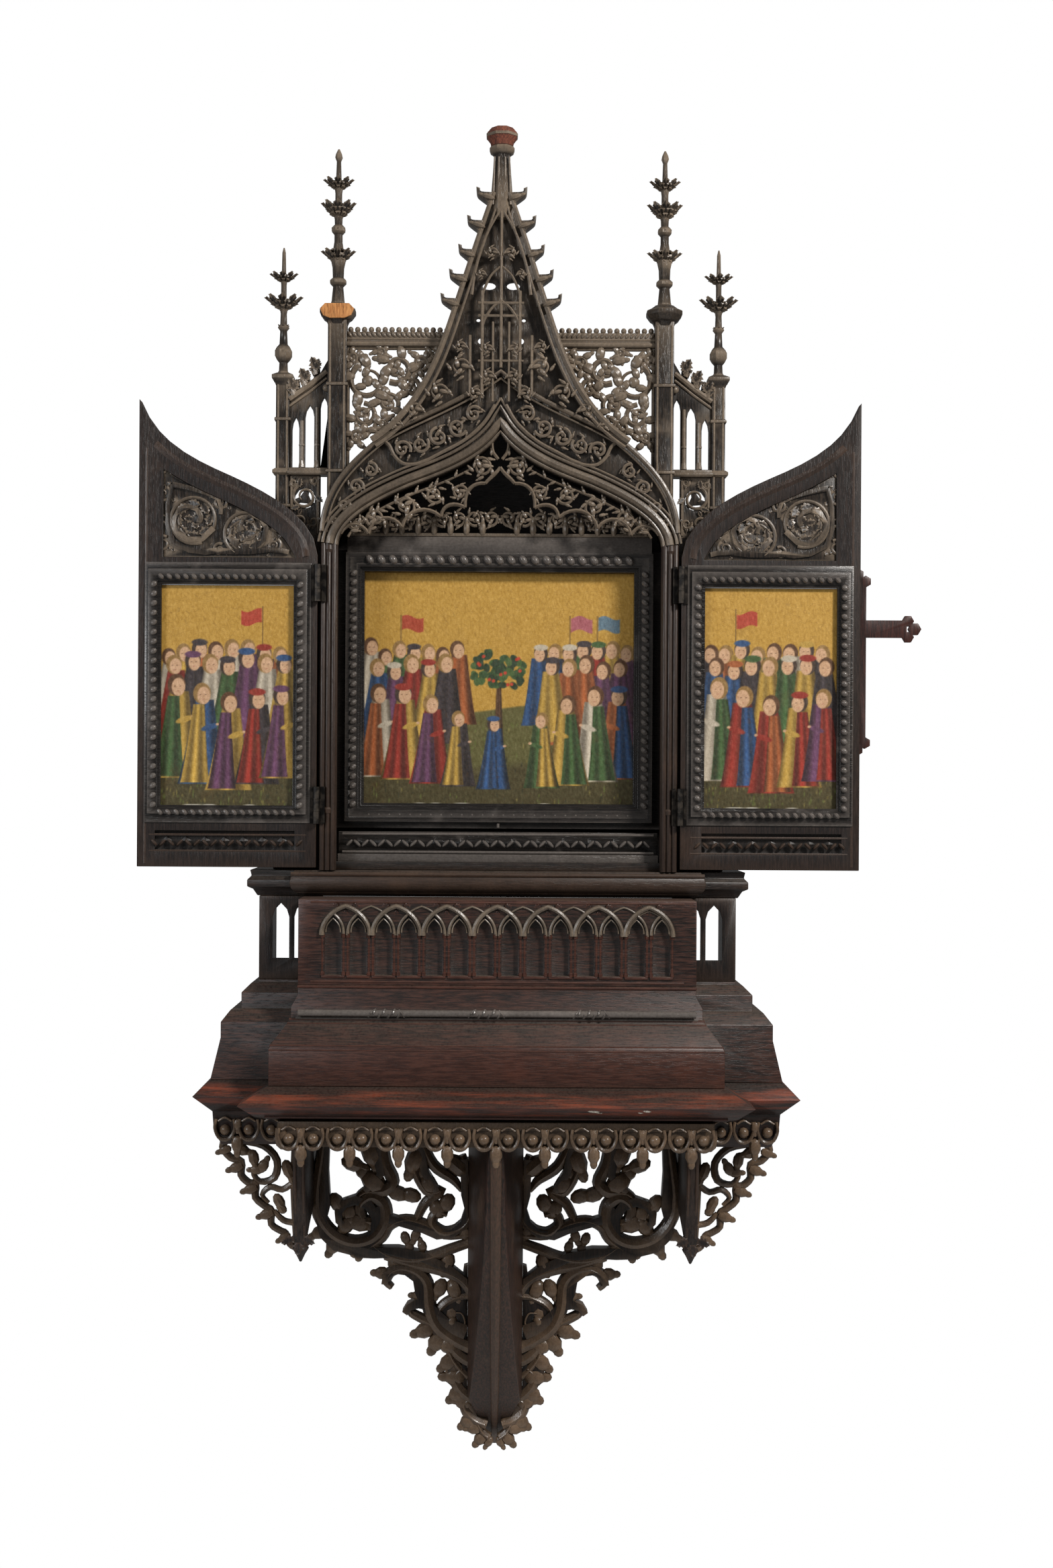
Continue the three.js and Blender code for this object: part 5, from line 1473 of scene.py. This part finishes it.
def drop_row(centres, points, front):
    """A row of cups, each a ring of rolls round a ball, with a pointed drop at every place in points."""
    rolls, balls, spots = [], [], []
    for x in centres:
        cup = [(-13, -661), (-14.5, -674), (-9, -687), (0, -691), (9, -687), (14.5, -674), (13, -661)]
        rolls.append((smooth([(x + dx, z) for dx, z in cup], 3), 2.4, 3.6, 2.4))
        rolls.append((smooth([(x - 10, -664), (x, -659), (x + 10, -664)], 3), 1.6, 2.0, 1.6))
        balls.append((x, -677))
    for x in points:
        rolls.append((smooth([(x - 7, -684), (x, -699), (x + 7, -684)], 3), 2.2, 3.2, 2.2))
        spots += [(x, -690, -90, 26, 1.3), (x, -664, -90, 18, 1.3)]
    return [
        stems(rolls, front + 7, deepen=1.25, sides=2),
        beads(balls, front + 8.5, 8.2, 8.2, 8.5, 0),
        lobes(spots, front + 8, 1),
    ]


def drop_frieze():
    front, back = (corner[1] for corner in span("drop_frieze"))
    parts = [block((-312, front + 9, -664), (312, back - 1, DROP_TOP), 0.8)]
    parts.append(block((-312, front + 12, DROP_FOOT), (312, front + 15, -655), 0.6))
    centres = [pair * DROP_PITCH + dx for pair in range(-4, 5) for dx in (-17.5, 17.5)]
    parts += drop_row(centres, [gap * DROP_PITCH for gap in range(-4, 5)], front)
    ends = span("shelf")[1][0] - 29
    for side in (1, -1):
        xs = sorted((side * 303, side * 314))
        parts.append(block((xs[0], front + 12, -664), (xs[1], back, DROP_TOP), 0.8))
        for y in (-250, -222):
            parts.append(turned([(-694, 3), (-688, 9), (-674, 11), (-663, 10)], side * 307, y, 8))
        centres = [side * (ends - step * 35) for step in (0.45, 1.45, 2.4)]
        parts += drop_row(centres, [side * (ends - 34)], SIDE_ROW_FRONT)
    return parts


done("frieze_of_drops", drop_frieze(), "case", bracket_oak, ("drop_frieze",))

# %% [markdown]
# ## The bracket
# The bracket is open scroll work on both sides of a keel. Each stem swells and tapers, so it is drawn as a
# line with three half widths. Leaves grow from the stems where they turn, and the edge is a run of hooks.
# %% Bracket
BRACKET_STEMS = [
    ([(258, -655), (262, -700), (266, -733), (274, -794), (270, -828), (248, -857), (216, -869),
      (187, -861), (170, -836),
      (172, -810), (190, -799), (207, -812), (203, -833), (190, -837)], (7, 8.5, 9, 6.5)),
    ([(184, -655), (176, -700), (170, -745), (158, -775), (172, -789), (201, -792),
      (221, -812)], (7, 8, 9, 3)),
    ([(52, -735), (44, -760), (38, -790), (36, -818), (50, -844), (78, -854), (97, -840), (90, -822),
      (74, -826)], (5, 6.5, 8, 4)),
    ([(120, -655), (114, -710), (96, -750), (66, -772), (52, -790)], (6, 7, 7, 3)),
    ([(120, -700), (126, -750), (106, -790), (84, -790), (107, -808), (121, -834)], (5, 6, 7, 5)),
    ([(36, -856), (78, -858), (107, -841), (137, -834), (162, -843), (174, -862), (195, -878)], (5, 6, 7, 6)),
    ([(34, -867), (68, -879), (100, -891), (134, -895), (166, -887), (187, -874)], (6, 7, 8, 6)),
    ([(30, -962), (42, -936), (63, -919), (94, -908), (131, -901), (168, -888)], (8, 7, 8, 7)),
    ([(34, -1030), (63, -1016), (89, -995), (101, -965), (105, -931), (120, -914), (142, -908),
      (160, -915), (166, -929), (158, -938)],
     (9, 9, 7.5, 4.5)),
    ([(80, -1006), (98, -992), (115, -984), (129, -975), (126, -964), (117, -967)], (7, 6, 4)),
    ([(36, -949), (57, -952), (78, -963), (88, -981), (78, -1002), (58, -1006), (46, -992), (51, -976),
      (64, -975)], (6, 6, 3)),
    ([(24, -1056), (49, -1044), (66, -1028), (74, -1012)], (8, 8, 5)),
    ([(22, -1082), (44, -1070), (62, -1050), (70, -1034)], (6, 6, 5)),
    ([(20, -1110), (40, -1103), (56, -1088), (61, -1072), (50, -1060)], (8, 8, 4)),
    ([(12, -1146), (28, -1140), (42, -1128), (46, -1114), (36, -1106)], (7, 7, 4)),
    ([(8, -1166), (18, -1158), (26, -1144)], (5, 5, 3)),
]
BRACKET_LEAVES = [
    (221, -834, 200, 30, 1.2), (221, -834, 310, 26, 1.2), (221, -834, 80, 24, 1.2), (248, -800, 240, 26, 1.1),
    (243, -866, -60, 22, 1.3), (228, -868, -120, 20, 1.3), (205, -868, -80, 22, 1.3),
    (190, -868, -130, 18, 1.3),
    (262, -850, -30, 20, 1.3), (176, -786, 40, 34, 1.2), (160, -790, 200, 26, 1.2), (120, -800, 20, 24, 1.2),
    (84, -826, 60, 24, 1.3), (70, -800, 300, 24, 1.3), (52, -846, 240, 20, 1.3), (97, -790, 60, 28, 1.2),
    (120, -852, -70, 16, 1.2), (140, -856, -110, 16, 1.2), (110, -880, 70, 15, 1.2),
    (134, -884, 110, 15, 1.2),
    (70, -890, -70, 24, 1.2), (100, -908, 60, 20, 1.2), (80, -930, -60, 24, 1.2), (66, -930, -110, 26, 1.2),
    (108, -950, 0, 18, 1.2), (150, -910, 60, 20, 1.3), (166, -916, 0, 18, 1.4), (98, -1000, -20, 24, 1.3),
    (84, -1012, -60, 24, 1.4), (68, -984, 100, 18, 1.4), (60, -1030, 20, 26, 1.3), (64, -1046, -40, 22, 1.4),
    (50, -1074, 0, 26, 1.3), (50, -1094, -40, 22, 1.4), (38, -1114, 10, 22, 1.3), (34, -1136, -40, 20, 1.4),
    (22, -1152, 0, 20, 1.3), (16, -1162, -50, 18, 1.4), (6, -1168, -60, 14, 1.2), (196, -720, 250, 34, 1.1),
    (120, -730, 290, 34, 1.1), (70, -742, 220, 34, 1.1), (230, -745, 200, 28, 1.1),
]


def bracket_scrolls(hand, side):
    middle = depth_of(f"{hand}_bracket_panel")
    parts = []
    for share, depth, deepen, sides in ((1.3, middle, 1.35, 2), (0.36, middle - 9.5, 1.2, 1)):
        strokes = []
        for line, halves in BRACKET_STEMS:
            strokes.append((mirrored(smooth(line, 4), side), *(half * share for half in halves)))
        parts.append(stems(strokes, depth, deepen, sides))
    fleshy = [(x, z, angle, length * 1.35, width * 1.1) for x, z, angle, length, width in BRACKET_LEAVES]
    parts += [lobes(fleshy, middle - 3, side), refined(f"{hand}_bracket_panel", 0.8)]
    parts.append(beads([(side * 221, -834), (side * 66, -988)], middle - 6, 9, 9, 8, 0))
    xs = sorted((side * 43, side * 268))
    parts.append(block((xs[0], middle - 6, -664), (xs[1], middle + 6, -650.4), 0.6))
    return parts


def outer_bracket(hand, side):
    low, high = span(f"{hand}_outer_bracket")
    front, back = low[1], high[1]
    xs = sorted((side * 297, side * 383))
    parts = [block((xs[0], front + 3, -700.6), (xs[1], back - 2, -650.5), 0.6)]
    lines = [
        ([(405, -703), (412, -716), (400, -732), (384, -738), (384, -758), (372, -770), (362, -772),
          (362, -792), (346, -806),
          (338, -812), (338, -832), (324, -842), (316, -846), (310, -862), (300, -868)], (6, 6, 5)),
        ([(302, -702), (304, -760), (302, -820), (300, -860)], (6, 6, 5)),
        ([(384, -706), (350, -714), (330, -736), (334, -762), (356, -768), (366, -752),
          (354, -742)], (6, 6, 3)),
        ([(306, -770), (322, -780), (340, -776), (352, -788), (342, -800)], (5, 5, 3)),
        ([(304, -830), (320, -826), (334, -812)], (5, 5, 4)),
    ]
    strokes = [(mirrored(smooth(line, 3), side), *halves) for line, halves in lines]
    parts.append(stems(strokes, (front + back) / 2, deepen=1.2, sides=2))
    spots = [
        (402, -718, -20, 16, 1.3), (384, -744, -20, 18, 1.3), (362, -776, -20, 18, 1.3),
        (338, -814, -20, 18, 1.3),
        (312, -848, -30, 16, 1.3), (354, -750, 120, 18, 1.3), (354, -750, 0, 16, 1.3),
        (330, -790, 240, 20, 1.2),
        (316, -740, 250, 24, 1.1), (392, -716, 200, 22, 1.2), (366, -724, 260, 20, 1.2),
        (320, -812, 60, 16, 1.2),
    ]
    parts.append(lobes([(x, z, a, n * 1.3, w) for x, z, a, n, w in spots], front + 5, side))
    return parts


def side_fin(hand, side):
    parts = [refined(f"{hand}_side_fin", 1.0)]
    ends = [(-838, 10), (-845, 8), (-852, 11.5), (-858, 8), (-871, 1.6)]
    parts.append(turned(ends, side * 287, -180, 8))
    tips = ((-7, -830, 200), (7, -830, -20), (0, -836, -90))
    spots = [(side * 287 + dx, z, angle, 18, 1.2) for dx, z, angle in tips]
    parts.append(leaves(spots, -216))
    rolls = []
    for x in (281, 293):
        line = [(side * x, z, y) for z, y in ((-655, 214), (-700, 214), (-760, 210), (-832, 190))]
        rolls.append((line, 2.4, 2.4))
    parts.append(stems(rolls, 0))
    return parts


both_sides(
    ("bracket_scrolls", bracket_scrolls, "dusty_oak", bracket_oak, "bracket_panel"),
    ("outer_bracket_scrolls", outer_bracket, "dusty_oak", bracket_oak, "outer_bracket"),
    ("side_fin_pendant", side_fin, "dark_oak", dark_oak, "side_fin"),
)


def keel():
    """The keel with a raised rib down its sweeping front edge."""
    sweep = []
    for t in np.linspace(0, 1, 25):
        out, z = (
            (1 - t) ** 2 * start + 2 * (1 - t) * t * bend + t**2 * end
            for start, bend, end in ((239, 205, 34), (-664, -960, -1180))
        )
        sweep.append((0, z, out))
    rib = stems([(sweep, 11, 9, 5)], 0, sides=2)
    return [refined("bracket_keel", 1.6), rib]


done("bracket_keel_rib", keel(), "case", keel_oak, ("bracket_keel",))

# %% [markdown]
# ## The painted panels
# The pictures are painted on a gold ground: people in long robes stand on a green bank, in the middle round
# a tree, and in a crowd on each wing. A fine grid carries the paint as one colour for each of its points,
# and the people are soft shapes laid over each other from back to front, as a painter works.
# %% Painted panels
SKIN, HAIR = (222, 178, 142), (86, 56, 36)
ROBES = [
    (38, 78, 132), (150, 42, 34), (58, 92, 52), (196, 158, 70), (206, 196, 178), (96, 58, 96), (172, 92, 50),
    (54, 50, 58),
]
HAIR_TONES = (HAIR, (150, 116, 66), (58, 46, 42))
GRASSES = ((96, 110, 52), (124, 116, 60), (40, 44, 26))
FOLIAGE = ((44, 76, 44), (66, 98, 52), (34, 58, 40))
POLE = (104, 78, 44)
GRID_STEP = 1.35  # mm between the points that carry paint


class Panel:
    """Paint on a panel: x and z in millimetres from the middle of its lower edge."""

    def __init__(self, half, height, seed):
        self.half, self.height = half, height
        self.columns, self.rows = int(2 * half / GRID_STEP), int(height / GRID_STEP)
        across, up = np.linspace(-half, half, self.columns), np.linspace(0, height, self.rows)
        self.x, self.z = np.meshgrid(across, up)
        self.rng = np.random.default_rng(seed)
        self.paint = np.ones(self.x.shape + (3,)) * (202, 156, 64)

    def lay(self, mask, colour):
        mask = np.clip(mask, 0, 1)[..., None]
        self.paint = self.paint * (1 - mask) + np.array(colour, float) * mask

    def dab(self, x, z, wide, tall, colour, turn=0.0):
        c, s = math.cos(math.radians(turn)), math.sin(math.radians(turn))
        u, v = (self.x - x) * c + (self.z - z) * s, (self.z - z) * c - (self.x - x) * s
        self.lay((1.0 - np.hypot(u / wide, v / tall)) * min(wide, tall) / 1.2 + 0.5, colour)

    def robe(self, x, foot, height, wide, colour, lean):
        """A long robe that widens to its hem, with folds of light and shade."""
        up = (self.z - foot) / height
        middle = x + lean * up * height
        half = wide * (1.0 - 0.62 * np.clip(up, 0, 1) ** 0.8)
        inside = np.clip((half - np.abs(self.x - middle)) / 1.3 + 0.5, 0, 1)
        for rise in (up, 1 - up):
            inside = inside * np.clip(rise * height / 1.5 + 0.5, 0, 1)
        across = (self.x - middle) / np.maximum(half, 1)
        folds = 0.86 + 0.3 * np.sin(across * 7 + x) * (1 - 0.5 * up)
        folds = folds - 0.28 * np.abs(across) ** 2 + 0.1 * (across < 0)
        self.lay(inside, np.clip(np.array(colour) * folds[..., None], 0, 255))

    def person(self, x, foot, height, colour, cloak, facing, front=True):
        head = height * 0.115
        self.robe(x, foot, height * 0.86, height * 0.25, colour, 0.03 * facing)
        if front:
            self.robe(x - facing * height * 0.07, foot + 2, height * 0.8, height * 0.15, cloak, 0.05 * facing)
            hand = foot + height * 0.58
            self.dab(x + facing * height * 0.08, hand, height * 0.09, height * 0.03, colour, 18 * facing)
            self.dab(x + facing * height * 0.16, hand + height * 0.03, 2.6, 1.9, SKIN)
        top = foot + height * 0.91
        tone = int(self.rng.integers(0, 3))
        self.dab(x, top + head * 0.12, head * 0.78, head * 0.95, HAIR_TONES[tone])
        self.dab(x + facing * head * 0.16, top - head * 0.06, head * 0.58, head * 0.78, SKIN)
        if head > 6:
            for eye in (-0.14, 0.32):
                self.dab(x + facing * head * eye, top + head * 0.02, 0.9, 0.55, (96, 66, 52))
            self.dab(x + facing * head * 0.12, top - head * 0.42, 1.2, 0.45, (176, 104, 88))
        if tone == 2:
            self.dab(x, top + head * 0.75, head * 0.8, head * 0.34, cloak)

    def crowd(self, xs, foot, height, facing):
        for x in xs:
            colours = [ROBES[int(k)] for k in self.rng.permutation(len(ROBES))[:2]]
            lift, taller = self.rng.uniform(-5, 5), self.rng.uniform(-6, 6)
            self.person(x, foot + lift, height + taller, *colours, facing, False)

    def ground(self, top):
        """The tooled arches on the gold, and the bank that the people stand on."""
        arches = np.abs(np.sin(self.x / 11)) * 20
        line = np.abs((self.height - 52 + arches) - self.z) + np.abs(np.sin(self.x / 5.5)) * 2
        self.lay((1.8 - line) * 0.35 * (self.z > self.height - 60), (160, 116, 40))
        self.lay((top + 6 * np.sin(self.x / 40) - self.z) / 3, (92, 92, 50))
        self.lay((top * 0.45 + 4 * np.sin(self.x / 23) - self.z) / 14, (66, 62, 34))
        for _ in range(260):
            x, z = self.rng.uniform(-self.half, self.half), self.rng.uniform(0, top * 0.9)
            tall, tone = self.rng.uniform(1.5, 4), int(self.rng.integers(0, 3))
            self.dab(x, z, 0.9, tall, GRASSES[tone])

    def flag(self, x, near, wide, middle, colour, pole=1.2, top=292):
        """A flag on a pole at x, whose middle stands near to it."""
        self.lay((pole - np.abs(self.x - x)) * (self.z < top) * (self.z > 90), POLE)
        wave = np.abs(self.z - middle - 3 * np.sin(self.x / 6))
        self.lay(np.minimum(wide - np.abs(self.x - x - near), 11 - wave) / 1.2, colour)

    def tree(self, x, foot, height):
        self.robe(x, foot, height * 0.62, 9, (92, 62, 40), 0.0)
        crown = foot + height * 0.72
        for _ in range(70):
            angle, reach = self.rng.uniform(0, 2 * math.pi), self.rng.uniform(0, 1) ** 0.6
            px, pz = x + 40 * reach * math.cos(angle), crown + 30 * reach * math.sin(angle)
            tone, turn = int(self.rng.integers(0, 3)), self.rng.uniform(0, 180)
            self.dab(px, pz, 7, 5, FOLIAGE[tone], turn)
        for i in range(12):
            px, pz = x + 32 * math.cos(i * 2.4), crown + 22 * math.sin(i * 1.7)
            self.dab(px, pz, 2.6, 2.6, (198, 60, 40))


def centre_picture():
    panel = Panel(209, 360, 3)
    panel.ground(150)
    for x, colour in ((-150, (176, 66, 44)), (150, (96, 128, 150)), (108, (178, 96, 110))):
        panel.flag(x, 18, 17, 278, colour)
    for start, end, step, foot, height in ((196, 60, 22, 122, 122), (186, 70, 26, 96, 128)):
        for side in (1, -1):
            panel.crowd(range(-side * start, -side * end, side * step), foot, height, side)
    panel.tree(0, 70, 190)
    for x, foot, height, colour, cloak, facing in (
        (-184, 44, 138, 4, 6, 1), (-146, 40, 142, 3, 1, 1), (-104, 34, 132, 1, 5, 1), (-62, 30, 112, 7, 3, 1),
        (184, 42, 138, 6, 0, -1), (148, 38, 142, 4, 2, -1), (106, 32, 134, 3, 2, -1), (66, 28, 112, 2, 3, -1),
        (-8, 26, 108, 0, 0, 1),
    ):
        panel.person(x, foot, height, ROBES[colour], ROBES[cloak], facing)
    return panel


def wing_picture(seed, facing):
    panel = Panel(99.5, 331, seed)
    panel.ground(140)
    panel.flag(52 * facing, -17 * facing, 16, 284, (186, 64, 48), pole=1.1, top=300)
    panel.crowd([-88, -66, -42, -18, 6, 30, 54, 78], 118, 124, facing)
    panel.crowd([-80, -52, -26, 0, 28, 56, 84], 92, 132, facing)
    for i, x in enumerate((-76, -38, 2, 44, 80)):
        colours = [ROBES[int(k)] for k in panel.rng.permutation(len(ROBES))[:2]]
        panel.person(x, 26 + 9 * abs(i - 2), 150 - 4 * i, *colours, facing)
    return panel


def painted(panel, node, name, body, x):
    """The panel's paint as colours on the points of a fine grid."""
    low = span(node)[0]
    deselect_all()
    bpy.ops.mesh.primitive_grid_add(x_subdivisions=panel.columns - 1, y_subdivisions=panel.rows - 1, size=1)
    grid = take(name)
    points = np.stack([panel.x + x, np.full_like(panel.x, low[1] - 0.3), panel.z + low[2]], axis=-1) * MM
    grid.data.vertices.foreach_set("co", points.reshape(-1))
    mottle = panel.rng.normal(0, 1, panel.x.shape)
    mottle = (mottle + np.roll(mottle, 1, 0) + np.roll(mottle, 1, 1) + np.roll(mottle, 2, 0)) * 3.5
    panel.paint = panel.paint * 0.84 + np.array((116, 88, 52)) * 0.16 + mottle[..., None]
    for spot in (-120, -96, -60, -52, 70):
        panel.dab(spot * panel.half / 209, 3, 9, 1.4, (226, 220, 206))
    colours = np.ones(panel.x.shape + (4,))
    share = np.clip(panel.paint / 255, 0, 1)
    colours[..., :3] = np.where(share <= 0.04045, share / 12.92, ((share + 0.055) / 1.055) ** 2.4)
    attribute = grid.data.color_attributes.new("paint", "FLOAT_COLOR", "POINT")
    attribute.data.foreach_set("color", colours.reshape(-1))
    back = refined(node, 0)
    back.data.color_attributes.new("paint", "FLOAT_COLOR", "POINT")
    done(name, [grid, back], body, panel_paint, (node,))


def paint_finish():
    """Old paint under varnish, with fine cracks and gold that shines a little."""
    material, shader, place = new_material("panel_paint")
    paint = place.node("Attribute", {"attribute_name": "paint"}, out=0)
    cracks = place.node("TexVoronoi", {"feature": "DISTANCE_TO_EDGE"}, {"Vector": place, "Scale": 160.0})
    clouds = place.noise(place, 22.0, 4.0, 0.6)
    base = place.mix((1.0 - cracks.step(0.0, 0.05)) * 0.25, paint, linear(90, 62, 30))
    base = place.mix(clouds.step(0.55, 0.8) * 0.22, base, linear(120, 86, 36))
    place.plug(shader.inputs["Base Color"], base)
    place.plug(shader.inputs["Roughness"], 0.42 + clouds * 0.2)
    return material


panel_paint = paint_finish()
painted(centre_picture(), "centre_painting", "centre_picture", "case", 0)
for (hand, side), seed in zip(SIDES, (7, 11)):
    low, high = span(f"{hand}_wing_painting")
    panel, middle = wing_picture(seed, -side), (low[0] + high[0]) / 2
    painted(panel, f"{hand}_wing_painting", f"{hand}_wing_picture", f"{hand}_wing", middle)

# %% [markdown]
# ## The hinges and the end of the work
# The hinges keep their meshes from the frame and get forged iron. The patterns have done their work.
# %% Hinges
hinges = [thing for node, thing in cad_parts.items() if "hinge" in node]
for thing in hinges:
    thing.data.materials.clear()
    thing.data.materials.append(hinge_iron)
for pattern in (leaf_pattern, bead_pattern):
    bpy.data.objects.remove(pattern)
